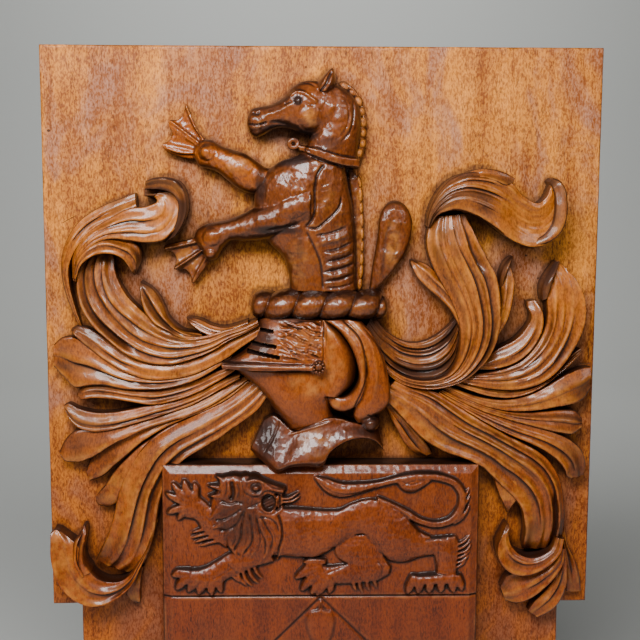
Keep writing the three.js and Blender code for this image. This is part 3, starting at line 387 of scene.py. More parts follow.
def wallsOf(a, b, width, level):
    # upright walls, a little undercut, down into the board
    walls = np.zeros((len(a), 5, 3))
    inward = (b - a) / np.maximum(width, .01) * np.minimum(.7, .06 * width)
    middle = (a + b) / 2
    for slot, edge, side, depth in ((0, b, -1, .5), (1, b, -1, 0), (2, middle, 0, 0), (3, a, 1, 0), (4, a, 1, .5)):
        walls[:, slot, ::2] = edge + inward * side * (1 if depth else 1.2)
        walls[:, slot, 1] = boardFront - level[:, -1 if side < 0 else 0] * depth if depth else boardFront + sunk
    return walls


def topOf(a, b, t, level):
    # points at the shares t (-1 to 1) from edge a to edge b
    k = ((t + 1) / 2)[..., None]
    flat = a[:, None] * (1 - k) + b[:, None] * k
    return np.stack([flat[..., 0], boardFront - level, flat[..., 1]], axis=-1)


def bandPlaces(lean, shoulder):
    # where the samples of one band stand, for each row: the steep side is the end where lean is 1
    gentle = np.array([0, .05, .12, .22, .34, .46, .58, .7]) * np.minimum((1 - shoulder) / .74, 1.12)
    u = np.concatenate([gentle, 1 - shoulder, 1 - .4 * shoulder, np.ones_like(shoulder)], axis=1)
    return u if lean > 0 else 1 - u[:, ::-1]


def leafForm(flutes, rows, settings, seed, shade, deep, trough):
    # A leaf: each band rises out of a hollow to a crest and drops off steeply to the next line.
    # shade is painted shade over the whole leaf, deep the share of the lines' depth, trough where they open into one
    # and its depth.
    at, run = smoothRows(rows, settings["step"])
    a, b, height = run[:, :2], run[:, 2:4], run[:, 4:]
    width = np.hypot(*(b - a).T)[:, None]
    share = at / at[-1]
    opened = ease(share, *trough[:2])
    chance = np.random.default_rng(seed)
    across = (b - a)[len(at) // 2]
    lean = 1 if across[0] * .5 - across[1] * .85 > 0 else -1
    lines = [np.full_like(at, line) for line in (-1, *flutes, 1)]
    count = len(flutes) + 1
    for n in range(1, count):
        lines[n] += settings["wander"] * softNoise(at / 46, n * 3.7, seed)
    bandWidths = [(after - before) / 2 * width for before, after in zip(lines[:-1], lines[1:])]
    depths = []                                     # how far each line lies under the crowns
    for n in range(count + 1):
        near = np.minimum(bandWidths[max(n - 1, 0)], bandWidths[min(n, count - 1)])
        if n in (0, count):
            depths.append(np.minimum((1 - settings["edge"]) * height * chance.uniform(.35, 1.1), .4 * near))
            continue
        strength = chance.choice([1.7, 1.2, .6]) * (.35 + .65 * ease(softNoise(at / 41, n * 5.3, seed + 3), -.5, .4))
        runsOut = (1 - chance.uniform(.3, 1.0) * ease(share, .66, 1.0)) * (1 - .9 * opened)
        runsOut = runsOut * (.25 + .75 * ease(share, .1, .5))
        depths.append(np.minimum(settings["flute"] * height, .42 * near) * strength * runsOut * deep)
    bands = []
    for n, band in enumerate(bandWidths):
        shoulder = np.clip(settings["shoulder"] / np.maximum(band, .5), .06, .36)
        u = bandPlaces(lean, shoulder)
        v = u if lean > 0 else 1 - u                # from the gentle side to the steep side
        steep, soft = (depths[n + 1], depths[n])[::lean]
        steepAtEdge, softAtEdge = (n == count - 1, n == 0)[::lean]
        hollow = chance.uniform(.2, 1.4) * np.minimum(settings["hollow"] * band, 1.6) * deep * (1 - .9 * opened)
        swell = settings["swell"] * softNoise(at / 60, n * 2.9 + .4, seed + 9) * (1 - .8 * opened)
        over = np.clip((v - 1 + shoulder) / shoulder, 0, 1)
        drop = (soft * (1 - ramp(np.clip(v / .8, 0, 1))) + steep * (1 - dome(over, 2.2))
                + hollow * np.sin(math.pi * np.clip(v / .86, 0, 1)) ** 2 * (1 - .5 * over)
                + swell * np.sin(math.pi * v))
        # painted shade beside each line: narrow on the steep side, broad in the hollow of the gentle side
        dirt = np.zeros_like(v)
        if not steepAtEdge:
            dirt = bell((1 - v) * band / (.55 * settings["dirtReach"])) * np.clip(steep / 2.6, 0, 1)
        if not softAtEdge:
            broad = .85 * bell(v * band / settings["dirtReach"]) + .62 * bell(v * band / (1.5 + .42 * band))
            dirt = np.maximum(dirt, broad * np.clip(soft / 3.2, 0, 1))
        # painted highlight along each band's crest
        wearAndSheen = bell((v - 1 + 1.3 * shoulder) / .16)
        place = lines[n] + (lines[n + 1] - lines[n]) * u
        bands.append(np.stack([place, drop, dirt, wearAndSheen])[..., min(n, 1):])
    t, drop, dirt, wearAndSheen = np.concatenate(bands, axis=-1)
    camber = settings["camber"] * chance.uniform(.3, 1.2) * np.minimum(width, 40)
    drop = drop + camber * t * t * (1 - opened) + trough[2] * (width * opened) * (1 - t * t)
    roundness = np.minimum(settings["rounding"] * chance.uniform(.7, 1.5), .2 * width)
    gap = np.minimum((1 - np.abs(t)) / 2 * width, roundness)
    drop = drop + roundness - np.sqrt(np.maximum(roundness ** 2 - (roundness - gap) ** 2, 0))
    across = t * width / 2
    tool = settings["scoop"] * (scoops(at / 17, across / 5.5, seed) - .25)
    tool = tool + softNoise(at / 15, across / 2.2, seed) * settings["tool"]
    level = height - drop + tool * np.minimum(width / 10, 1)
    golden = .75 * ease(softNoise(at / 52, across / 24, seed + 8), -.15, .6)
    # painted shade towards the leaf's tip
    atTip = settings["tipShade"] * ease(share, .6, .97) * (1 - opened)
    atTip = atTip * (.7 + .6 * softNoise(at / 22, across / 9, seed + 6))
    shaded = shade * (1 - opened) * (.75 + .5 * softNoise(at / 30, across / 12, seed + 5))
    dirt = np.maximum(np.maximum(dirt, atTip), shaded)
    wearAndSheen = np.maximum(np.maximum(wearAndSheen, golden), .3 * opened)
    part = closeForm(topOf(a, b, t, level), wallsOf(a, b, width, level), dirt, wearAndSheen)
    # mm across and along the leaf, for streaks that follow it
    across = np.concatenate([across, np.repeat(width, 5, axis=1)], axis=1)
    part.flow = np.stack(np.broadcast_arrays(across, at, seed * 7.3), axis=-1).reshape(-1, 3)
    return part


sections = {
    "round": lambda t: .5 + .5 * dome(t),
    "flat": lambda t: 1 - .15 * ease(np.abs(t), .72, 1),
    "flare": lambda t: .70 + .30 * ease(t, -1.1, .8) - .16 * ease(t, .7, 1),     # up to a lip by the second edge
    "hollow": lambda t: .62 + .38 * dome(t, 2.4),
    "web": lambda t: np.interp(t, [-1, 0, 1], [1, .93, .84]),
}


def bodyForm(form, settings):
    kind, *rows = form
    run = smoothRows(rows, settings["step"])[1]
    a, b, height = run[:, :2], run[:, 2:4], run[:, 4:]
    width = np.hypot(*(b - a).T)[:, None]
    t = np.sin(np.linspace(-math.pi / 2, math.pi / 2, settings["samples"]))[None]
    if kind == "swell":                              # broad and softly rounded, its edges a few mm lower
        level = height - np.minimum(8, .3 * width) * (1 - dome(t, 2.2))
    else:
        level = height * sections[kind](t)
    return closeForm(topOf(a, b, t, level), wallsOf(a, b, width, level))


def ballPart(x, z, radius, foot, rise, rings=14, around=22):
    theta = np.linspace(0, math.pi, rings + 1)[:, None]
    phi = np.linspace(0, 2 * math.pi, around, endpoint=False)
    return gridPart(x + radius * np.sin(theta) * np.cos(phi), boardFront - foot - rise * np.cos(theta),
                    z + radius * np.sin(theta) * np.sin(phi), (0, 1), True)


def ringPart(x, z, outer, wire, height, around=48, section=14):
    phi = np.linspace(0, 2 * math.pi, around, endpoint=False)[:, None]
    theta = np.linspace(0, 2 * math.pi, section, endpoint=False)
    reach = outer - wire + wire * np.cos(theta)
    y = boardFront - height - wire * np.sin(theta)
    return gridPart(x + reach * np.cos(phi), y, z + reach * np.sin(phi), (1, 1))


def together(parts):
    starts = np.cumsum([0] + [len(p.points) for p in parts[:-1]])
    faces = np.concatenate([p.faces + start for p, start in zip(parts, starts)])
    points, *marks = [np.concatenate([getattr(p, name) for p in parts]) for name in ("points", "dirt", "wearAndSheen", "flow")]
    return Part(points, faces, *marks)


def meshFrom(name, points, faces):
    mesh = bpy.data.meshes.new(name)
    mesh.from_pydata((points * mm).tolist(), [], faces)
    mesh.validate()
    return mesh


def readValues(owner, label, wide, kind=np.float32):
    values = np.zeros(len(owner) * wide, kind)
    owner.foreach_get(label, values)
    return values.reshape(-1, wide)


def readPoints(mesh):
    return readValues(mesh.vertices, "co", 3).astype(float) / mm


def plainMesh(owner):
    # the object's mesh with its modifiers' work done; the object goes
    mesh = bpy.data.meshes.new_from_object(owner.evaluated_get(bpy.context.evaluated_depsgraph_get()))
    owner.modifiers.clear()
    bpy.data.objects.remove(owner)
    return mesh


def skinOver(name, parts, settings):
    # one softened skin over all the parts
    whole = together(parts)
    piece = addObject(name, meshFrom(name, whole.points, whole.faces.tolist()))
    modifier = piece.modifiers.new("skin", "REMESH")
    modifier.mode, modifier.voxel_size = "VOXEL", settings["voxel"] * mm
    mesh = plainMesh(piece)
    part = Part(readPoints(mesh), readValues(mesh.loops, "vertex_index", 1, np.int32).reshape(-1, 4))
    bpy.data.meshes.remove(mesh)
    return soften(part, settings["softening"])


def sidesOf(faces):
    return np.concatenate([faces[:, [k, (k + 1) % 4]] for k in range(4)])


def edgesOf(part):
    return np.unique(np.sort(sidesOf(part.faces), axis=1), axis=0)


def averageOf(values, pairs):
    # the mean of each point's neighbours
    total = np.zeros(values.shape)
    np.add.at(total, pairs[:, 0], values[pairs[:, 1]])
    np.add.at(total, pairs[:, 1], values[pairs[:, 0]])
    links = np.bincount(pairs.reshape(-1), minlength=len(values)).astype(float)
    return total / np.maximum(links, 1).reshape((-1,) + (1,) * (values.ndim - 1))


def normalsOf(part):
    p, f = part.points, part.faces
    normal = np.cross(p[f[:, 2]] - p[f[:, 0]], p[f[:, 3]] - p[f[:, 1]])
    total = np.zeros_like(p)
    for k in range(4):
        np.add.at(total, f[:, k], normal)
    return total / np.maximum(np.linalg.norm(total, axis=1), 1e-9)[:, None]


def facing(part, sharpness=2.0, less=.25):
    # 1 where the skin looks forwards, 0 on its sides
    return np.clip(-normalsOf(part)[:, 1] * sharpness - less, 0, 1)


def soften(part, rounds, share=.5):
    pairs = edgesOf(part)
    for _ in range(rounds):
        part.points += (averageOf(part.points, pairs) - part.points) * share
    return part


def softenAt(part, places, rounds):
    # smooths the skin round some places, each x, z and how far
    share = np.zeros(len(part.points))
    for x, z, radius in places:
        share = np.maximum(share, ease(-np.hypot(part.x - x, part.z - z), -radius, -.6 * radius))
    soften(part, rounds, .5 * share[:, None])


def distanceTo(x, z, line):
    # distance to a line through the points, and the share along it
    best, share = np.full(x.shape, 1e9), np.zeros(x.shape)
    lengths = np.hypot(*np.diff(line, axis=0).T)
    gone = 0
    for (x1, z1), (x2, z2), length in zip(line[:-1], line[1:], lengths):
        dx, dz = (x2 - x1) / max(length, 1e-6), (z2 - z1) / max(length, 1e-6)
        s = np.clip((x - x1) * dx + (z - z1) * dz, 0, length)
        distance = np.hypot(x - x1 - s * dx, z - z1 - s * dz)
        near = distance < best
        best, share = np.where(near, distance, best), np.where(near, (gone + s) / lengths.sum(), share)
        gone += length
    return best, share


def nearLine(x, z, line, reach):
    low, high = line.min(axis=0) - reach, line.max(axis=0) + reach
    return np.nonzero((x > low[0]) & (x < high[0]) & (z > low[1]) & (z < high[1]))[0]


def cutLine(x, z, level, dirt, cut):
    # carves one line into a field of levels: x, z pairs, width, depth and fade; a negative depth raises a ridge
    *flat, width, depth, fade = cut
    line = smoothLine(np.reshape(flat, (-1, 2)))
    here = nearLine(x, z, line, 4 * width + 3)
    distance, share = distanceTo(x[here], z[here], line)
    taper = np.maximum(np.clip(np.minimum(share, 1 - share) / fade, 0, 1) ** .6, .15)
    level[here] -= depth * bell(distance / width) * taper
    # painted shade along a cut groove
    if depth > 0:
        dirt[here] = np.maximum(dirt[here], bell(distance / (width * .8)) * taper * min(1, depth / 1.6))


def cutAll(part, cuts, sharpness=2.0):
    # carves lines into the front of a skin: depth along y, only where the skin faces forwards
    front = facing(part, sharpness)
    level, dirt = np.zeros((2, len(part.points)))
    for cut in cuts:
        cutLine(part.x, part.z, level, dirt, cut)
    part.y -= level * front
    part.dirt = np.maximum(part.dirt, dirt * front)


def bump(part, x, z, radius, rise, power=2.0):
    distance = np.hypot(part.x - x, part.z - z) / radius
    part.y -= rise * np.clip(1 - distance ** power, 0, 1) ** .8 * facing(part)


def tint(part, places, field="dirt"):
    # deepens the painted shade or the painted sheen round some places: x, z, half width, half height, share
    for x, z, wide, high, share in places:
        reach = np.hypot((part.x - x) / wide, (part.z - z) / high)
        setattr(part, field, np.maximum(getattr(part, field), share * ease(-reach, -1, -.3)))


def tooled(part, size, depth, seed, tall=1.3):
    # gouge marks over the faces that look forwards
    marks = depth * (scoops(part.x / size, part.z / size / tall, seed) - .25)
    part.y -= facing(part, 2.0, .4) * (marks + .14 * depth * softNoise(part.x / 1.9, part.z / 2.6, seed))


# wood finish
class Nodes:
    # adds nodes to a tree; each input is a number, a colour or another node's output
    def __init__(self, tree):
        self.tree = tree

    def fill(self, made, inputs):
        for slot, value in inputs.items():
            socket = made.inputs[slot]
            if isinstance(value, bpy.types.NodeSocket):
                self.tree.links.new(value, socket)
            else:
                socket.default_value = (*value[:3], 1) if socket.type == "RGBA" else value

    def add(self, kind, inputs=(), **values):
        made = self.tree.nodes.new(kind)
        for name, value in values.items():
            setattr(made, name, value)
        self.fill(made, dict(inputs))
        return made

    def out(self, kind, inputs=(), slot=0, **values):
        return self.add(kind, inputs, **values).outputs[slot]

    def calc(self, operation, *values):
        return self.out("ShaderNodeMath", enumerate(values), operation=operation)

    def times(self, first, *others):
        for other in others:
            first = self.calc("MULTIPLY", first, other)
        return first

    def plus(self, first, *others):
        for other in others:
            first = self.calc("ADD", first, other)
        return first

    def blend(self, share, first, second, mode="MIX"):
        return self.out("ShaderNodeMix", {0: share, 6: first, 7: second}, 2, data_type="RGBA", blend_type=mode)

    def noise(self, place, scale, detail=2.0, roughness=.5, distortion=0.0, stretch=None):
        if stretch:
            place = self.out("ShaderNodeMapping", {"Vector": place, "Scale": stretch})
        return self.out("ShaderNodeTexNoise", {"Vector": place, "Scale": scale, "Detail": detail,
                                               "Roughness": roughness, "Distortion": distortion})

    def between(self, value, low, high, start=0.0, end=1.0):
        values = enumerate((value, low, high, start, end))
        return self.out("ShaderNodeMapRange", values, interpolation_type="SMOOTHSTEP")

    def split(self, vector):
        return self.add("ShaderNodeSeparateXYZ", {0: vector}).outputs


def newTree(kind, name, inputs, outputs):
    # a node group with named sockets: each a label, a kind and perhaps a first value
    tree = bpy.data.node_groups.new(name, kind)
    for side, rows in (("INPUT", inputs), ("OUTPUT", outputs)):
        for label, socketKind, *value in rows:
            socket = tree.interface.new_socket(name=label, in_out=side, socket_type="NodeSocket" + socketKind)
            if value:
                socket.default_value = value[0]
    nodes = Nodes(tree)
    return nodes, nodes.add("NodeGroupInput").outputs, nodes.add("NodeGroupOutput")


def makeGrainGroup():
    # upright grain: broad ribbons, blotches, fibres, flecks and short dark pores
    nodes, given, out = newTree("ShaderNodeTree", "uprightGrain", [
        ("Place", "Vector"), ("Light", "Color", (.5, .25, .1, 1)), ("Dark", "Color", (.3, .12, .04, 1)),
        ("Pore", "Color", (.06, .02, .008, 1)), ("Pore Share", "Float", 1.0), ("Ribbon Share", "Float", 1.0),
        ("Fleck Share", "Float", 1.0), ("Haze", "Color", (.42, .20, .11, 1)), ("Haze Share", "Float", 0.0)],
        [("Colour", "Color"), ("Height", "Float"), ("Pores", "Float")])
    place = given["Place"]
    tones, heights = [], []
    # stretch along the grain, size, detail, range taken as dark, share of the tone
    for stretch, size, detail, dark, share, label in (
            (.05, 40, 3, (.36, .66), .30, "Ribbon Share"), (.5, 22, 3, (.36, .66), .26, None),
            (.06, 330, 3, (.34, .66), .14, "Ribbon Share"), (.55, 190, 3, (.36, .64), .17, "Fleck Share"),
            (.45, 560, 2, (.44, .60), .44, "Fleck Share")):
        heights.append(nodes.noise(place, size, detail, .6, .3, (1, 1, stretch)))
        tone = nodes.times(nodes.between(heights[-1], *dark), share)
        tones.append(nodes.times(tone, given[label]) if label else tone)
    clumps = nodes.between(nodes.noise(place, 90, 2, stretch=(1, 1, .3)), .35, .65)
    pores = nodes.between(nodes.noise(place, 760, 1.5, stretch=(1, 1, .2)), .56, .68)
    pores = nodes.times(pores, nodes.plus(.2, nodes.times(clumps, .8)), given["Pore Share"])
    hazy = nodes.between(nodes.noise(place, 15, 4, .6, .8, (1, 1, .6)), .44, .66)
    bright = nodes.blend(nodes.times(hazy, given["Haze Share"]), given["Light"], given["Haze"])
    colour = nodes.blend(nodes.plus(*tones), bright, given["Dark"])
    lift = nodes.plus(nodes.times(heights[2], .35), nodes.times(heights[4], .5))
    nodes.fill(out, {"Colour": nodes.blend(nodes.times(pores, .8), colour, given["Pore"]),
                     "Height": nodes.calc("SUBTRACT", lift, nodes.times(pores, .8)), "Pores": pores})
    return nodes.tree


def makeWearGroup():
    # dirt and painted shade in the hollows, painted shade on upright walls, darker end grain, paler worn crowns with
    # painted sheen
    nodes, given, out = newTree("ShaderNodeTree", "handledSurface", [
        ("Colour", "Color", (.5, .25, .1, 1)), ("Place", "Vector"), ("Facing", "Float", 1.0),
        ("Upward", "Float", 0.0), ("Dirt", "Float", 0.0), ("Rub", "Float", 0.0),
        ("Dirt Tone", "Color", (.02, .008, .004, 1)),
        ("Wall Tone", "Float", .4), ("Rub Tone", "Color", (.6, .36, .2, 1)), ("Rub Share", "Float", .25)],
        [("Colour", "Color"), ("Roughness", "Float")])
    patchy = nodes.noise(given["Place"], 95, 3, .6)
    # the dirt attribute is dirt plus painted shade in hollows, grooves and at the feet of walls
    dirtShare = nodes.times(given["Dirt"], nodes.plus(.62, nodes.times(patchy, .55)))
    dirtShare = nodes.between(dirtShare, .05, .95, 0, .93)
    # painted shade on walls turned away from the front; faces turned up or down are darker end grain
    wallShade = nodes.times(nodes.between(given["Facing"], .96, .50), .75)
    endGrain = nodes.times(nodes.between(given["Upward"], .45, .92), .25)
    wallShadeShare = nodes.times(nodes.plus(wallShade, endGrain), given["Wall Tone"])
    # the rub attribute is wear plus painted sheen on crests and proud places
    wearAndSheenShare = nodes.times(given["Rub"], nodes.between(patchy, .3, .75), given["Rub Share"])
    # painted shade: darker towards the bottom, where the light falls off
    low = nodes.between(nodes.split(given["Place"])["Z"], .14, -.34, 0, .95)
    colour = nodes.blend(low, given["Colour"], (.66, .44, .30), "MULTIPLY")
    for share, tone in ((wearAndSheenShare, "Rub Tone"), (wallShadeShare, "Dirt Tone"), (dirtShare, "Dirt Tone")):
        colour = nodes.blend(share, colour, given[tone])
    smear = nodes.between(nodes.noise(given["Place"], 38, 4, .65), .3, .7, .0, .16)
    nodes.fill(out, {"Colour": colour, "Roughness": nodes.plus(smear, nodes.times(dirtShare, .3))})
    return nodes.tree


grainGroup = makeGrainGroup()
wearGroup = makeWearGroup()


def markMask(nodes, place):
    # 1 in the small holes and cracks of the ground
    mask = 0.0
    for x, z, length, width, turn in boardMarks:
        spot = nodes.out("ShaderNodeMapping", {
            "Vector": place, "Location": (x * mm, 0, z * mm), "Rotation": (0, -turn, 0),
            "Scale": (length * mm, 1000, width * mm)}, vector_type="TEXTURE")
        reach = nodes.out("ShaderNodeVectorMath", {0: spot}, "Value", operation="LENGTH")
        mask = nodes.calc("MAXIMUM", mask, nodes.between(reach, 1.0, .5))
    return mask


def makeWood(name, finish):
    material = bpy.data.materials.new(name)
    material.use_nodes = True
    nodes = Nodes(material.node_tree)
    shader = nodes.tree.nodes["Principled BSDF"]
    place = nodes.out("ShaderNodeTexCoord", slot="Object")
    flow = nodes.out("ShaderNodeAttribute", slot="Vector", attribute_name="flow")
    turned = nodes.split(nodes.out("ShaderNodeNewGeometry", slot="Normal"))
    grain = nodes.add("ShaderNodeGroup", {"Place": place}, node_tree=grainGroup)
    wear = nodes.add("ShaderNodeGroup", {
        "Place": place, "Facing": nodes.calc("ABSOLUTE", turned["Y"]), "Upward": nodes.calc("ABSOLUTE", turned["Z"]),
        "Dirt": nodes.out("ShaderNodeAttribute", slot="Fac", attribute_name="dirt"),
        "Rub": nodes.out("ShaderNodeAttribute", slot="Fac", attribute_name="wearAndSheen")}, node_tree=wearGroup)
    for made in (grain, wear, shader):
        nodes.fill(made, {label: value for label, value in finish.items() if label in made.inputs})
    colour, height = grain.outputs["Colour"], grain.outputs["Height"]
    if finish["streaks"]:
        # tool streaks that run along each leaf
        streak = nodes.noise(flow, 330, 3, .6, stretch=(1, .07, 1))
        broad = nodes.times(nodes.between(nodes.noise(flow, 95, 2, stretch=(1, .12, 1)), .42, .66), .65)
        share = nodes.plus(broad, nodes.times(nodes.between(streak, .46, .66), .3))
        colour = nodes.blend(nodes.times(share, finish["streaks"]), colour, finish["Dark"])
        height = nodes.plus(height, nodes.times(streak, .4))
    if name == "boardWood":
        marks = markMask(nodes, place)
        colour = nodes.blend(nodes.times(marks, .9), colour, finish["Dirt Tone"])
        height = nodes.calc("SUBTRACT", height, nodes.times(marks, 4.0))
    nodes.fill(wear, {"Colour": colour})
    rough = nodes.plus(wear.outputs["Roughness"], nodes.times(grain.outputs["Pores"], .15))
    relief = nodes.out("ShaderNodeBump", {"Strength": finish["bump"], "Distance": .0006, "Height": height})
    nodes.fill(shader, {"Base Color": wear.outputs["Colour"], "Roughness": nodes.plus(finish["roughness"], rough),
                        "Normal": relief, "Specular IOR Level": .25})
    return material


# small holes and cracks in the ground: x, z, half length, half width, turn
boardMarks = [
    (-292,217,2.2,1.8,0),(222,85,1.6,1.4,0),(-272.5,123,11,.45,.5),(290,-34,8,.6,0),(294,-21,.6,12,.1),
    (-18,285,1.2,1,0),(236,60,1.2,1,0)
]
crestFinish = {
    "Light": (.205, .044, .003), "Dark": (.052, .009, .0006), "Pore": (.02, .004, .001), "Pore Share": .4,
    "Ribbon Share": .5, "Fleck Share": .7, "Haze": (.20, .060, .02), "Haze Share": .3, "streaks": 0,
    "Dirt Tone": (.012, .0025, .0005), "Wall Tone": 1.0, "Rub Tone": (.50, .18, .03), "Rub Share": .8,
    "roughness": .32, "bump": .3, "Coat Weight": .5, "Coat Roughness": .13}
woodFinishes = {
    "boardWood": {
        "Light": (.78, .275, .030), "Dark": (.22, .052, .004), "Pore": (.08, .018, .003), "Pore Share": .8,
        "Ribbon Share": 1.0, "Fleck Share": 1.0, "Haze": (.45, .205, .125), "Haze Share": .95, "streaks": 0,
        "Dirt Tone": (.030, .008, .001), "Wall Tone": .8, "Rub Tone": (.62, .30, .08), "Rub Share": .1,
        "roughness": .42, "bump": .5, "Coat Weight": .08, "Coat Roughness": .3},
    "mantlingWood": {
        "Light": (.50, .130, .007), "Dark": (.085, .016, .001), "Pore": (.03, .007, .001), "Pore Share": .5,
        "Ribbon Share": .6, "Fleck Share": .7, "Haze": (.40, .15, .05), "Haze Share": .4, "streaks": .26,
        "Dirt Tone": (.020, .0045, .001), "Wall Tone": 1.0, "Rub Tone": (.70, .25, .03), "Rub Share": .55,
        "roughness": .34, "bump": .35, "Coat Weight": .42, "Coat Roughness": .15},
    "crestWood": crestFinish,
    "helmetWood": {
        **crestFinish, "Light": (.36, .080, .0018), "Dark": (.11, .017, .0004), "Ribbon Share": .4, "Fleck Share": .8,
        "Haze": (.22, .05, .01), "Rub Tone": (.58, .22, .05)},
    "shieldWood": {
        **crestFinish, "Light": (.35, .080, .0045), "Dark": (.115, .019, .0009), "Pore": (.03, .006, .001),
        "Pore Share": .8, "Ribbon Share": .8, "Fleck Share": .8, "Haze": (.26, .085, .03), "Haze Share": .5,
        "Dirt Tone": (.012, .003, .0006), "Rub Tone": (.42, .14, .04), "Rub Share": .5, "roughness": .36, "bump": .4,
        "Coat Weight": .34, "Coat Roughness": .14},
}
woods = {name: makeWood(name, finish) for name, finish in woodFinishes.items()}
print("woods ready")


def boxBlur(field, *reaches):
    for reach in reaches:
        for axis in (0, 1):
            padded = np.pad(field, [(reach + 1, reach) if n == axis else (0, 0) for n in (0, 1)], "edge")
            total, count = np.cumsum(padded, axis), field.shape[axis]
            after = total.take(range(2 * reach + 1, 2 * reach + 1 + count), axis)
            field = (after - total.take(range(count), axis)) / (2 * reach + 1)
    return field


class Field:
    # a map of levels over a rectangle of the panel's front
    def __init__(self, lowX, lowZ, highX, highZ, cell):
        self.low, self.cell = (lowX, lowZ), cell
        xs, zs = np.arange(lowX, highX + cell, cell), np.arange(lowZ, highZ + cell, cell)
        self.x, self.z = np.meshgrid(xs, zs, indexing="ij")
        self.level = np.zeros(self.x.shape)

    def cells(self, x, z):
        return tuple(np.clip(np.round((value - low) / self.cell).astype(int), 0, size - 1)
                     for value, low, size in zip((x, z), self.low, self.level.shape))

    def raiseTo(self, x, z, level):
        np.maximum.at(self.level, self.cells(x, z), level)

    def lay(self, kind, *rows):
        run = smoothRows(rows, self.cell * .8)[1]
        width = np.hypot(run[:, 2] - run[:, 0], run[:, 3] - run[:, 1]).max()
        t = np.linspace(-1, 1, max(5, int(width / self.cell / .7)))[None]
        k = (t + 1) / 2
        x, z = [run[:, n:n + 1] * (1 - k) + run[:, n + 2:n + 3] * k for n in (0, 1)]
        self.raiseTo(x, z, run[:, 4:] * (.25 + .75 * dome(t, 2.1)))


# crowding: what stands close paints shade and soil on its neighbours
crowdingSettings = {"low": (-306, -598), "high": (307.5, 315.5), "cell": 1.5, "reach": 2, "clear": 2.2, "full": 12.0,
                    "share": .85}
crowd = Field(*crowdingSettings["low"], *crowdingSettings["high"], crowdingSettings["cell"])


def standsHere(parts):
    for part in parts:
        crowd.raiseTo(part.x, part.z, boardFront - part.y)


def spreadCrowd(settings):
    # each cell takes its neighbours' level too, then all are blurred
    field = crowd.level
    for axis in (0, 1):
        for shift in (1, -1):
            field = np.maximum(field, np.roll(crowd.level, shift, axis) * .999)
    crowd.level = boxBlur(field, settings["reach"], settings["reach"])


def soilAndShade(part, extra=1.0):
    # painted shade and soil where neighbours stand higher
    above = crowd.level[crowd.cells(part.x, part.z)] - np.maximum(boardFront - part.y, 0)
    crowded = np.clip((above - crowdingSettings["clear"]) / crowdingSettings["full"], 0, 1)
    part.dirt = np.clip(np.maximum(part.dirt, crowded * crowdingSettings["share"] * extra), 0, 1)


def hollowShadeAndProudSheen(part, strength, pairs=None, normal=None, proud=.7):
    # painted shade and dirt where the skin is hollow, painted sheen and wear where it stands proud
    if pairs is None:
        pairs, normal = edgesOf(part), normalsOf(part)
    average = averageOf(averageOf(part.points, pairs), pairs)
    dent = averageOf(np.einsum("ij,ij->i", average - part.points, normal), pairs) * strength
    part.dirt = np.clip(np.maximum(part.dirt, dent), 0, 1)
    part.wearAndSheen = np.clip(np.maximum(part.wearAndSheen, -dent * proud), 0, 1)


def finishPiece(name, mesh, part, wood=None, sharp=48):
    for label in ("dirt", "wearAndSheen"):
        values = getattr(part, label).astype(np.float32)
        mesh.attributes.new(label, "FLOAT", "POINT").data.foreach_set("value", values)
    if part.flow.any():
        flow = (part.flow * mm).astype(np.float32).reshape(-1)
        mesh.attributes.new("flow", "FLOAT_VECTOR", "POINT").data.foreach_set("vector", flow)
    if wood:
        mesh.shade_smooth()
        mesh.set_sharp_from_angle(angle=math.radians(sharp))
        mesh.materials.append(woods[wood])
    piece = addObject(name, mesh)
    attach(piece, "root")
    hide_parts("carved_panel")
    print(name, len(mesh.polygons), "faces")


def keepPart(name, part, wood, sharp):
    finishPiece(name, meshFrom(name, part.points, part.faces.tolist()), part, wood, sharp)


# mantling
leafSettings = {"step": 1.7, "edge": .82, "flute": .15, "rounding": 1.6, "shoulder": 2.6, "hollow": .11, "swell": 1.8,
                "camber": .08, "wander": .07, "tool": .05, "scoop": 1.0, "dirtReach": 1.3, "tipShade": .62}
# painted shade laid over leaves that turn away from the light: rolls, lips, folds and troughs
leafShades = {
    "upperScrollRoll": 1.5, "upperScrollLip": 1.2, "upperScrollRim": .25, "upperHook": .15, "strapTrough": .85,
    "crownTip": .6, "tailDrop": .2, "crownCurl": .85, "tailCurlLip": .4, "tailCurl": .15, "leaf7": .3, "longTail": .2,
    "sideLeaf": .3, "thinTail": .4, "lowestLeaf": .35, "lowerLeaf": .2, "strapCurl": .2, "crownLeaf": .68,
    "strapRightFold": .8, "waveFold": .8, "strap": .12}
leafDepths = {"strap": 1.9, "strapTrough": 1.5, "crownLeaf": 1.3, "longStrap": 1.5, "wave": 1.2, "fan": 1.2}
# where along the leaf its lines open into a trough, from and to, and how deep it is
leafTroughs = {"leaf1": (.8, .45, .03), "crownLeaf": (.36, .6, .13), "upperScroll": (.55, .85, .08),
               "waveHook": (.5, .9, .08), "wave": (.55, .85, .05), "strapCurl": (.3, .8, .1),
               "tailCurl": (.3, .8, .1)}
noTrough = (2, 3, 0)


def mantlingPart(leaves, firstSeed):
    return together([leafForm(flutes, rows, leafSettings, firstSeed + n, leafShades.get(name, 0),
                              leafDepths.get(name, 1), leafTroughs.get(name, noTrough))
                     for n, (name, (flutes, *rows)) in enumerate(leaves.items())])


mantlings = {"mantlingLeft": mantlingPart(leftMantling, 11), "mantlingRight": mantlingPart(rightMantling, 51)}
standsHere(mantlings.values())
print("mantling carved")

# the sea-horse
beastSettings = {"voxel": 1.0, "step": 1.5, "samples": 25, "softening": 4, "scoop": 8.5, "scoopDepth": 1.6,
                 "eye": (-27, 248.3), "farWrist": (-122.4, 194.6, 8.5, 21, 9.5), "nearWrist": (-119, 89, 9, 15, 16),
                 "stud": (-31.5, 204, 4.5, 0, 17), "collarRing": (-31.5, 204, 7, 2.7, 22)}
beastGroups = {"farArm": ("farArm", "farHand"), "spoonTail": ("spoonTail",)}      # each its own skin, the rest is one
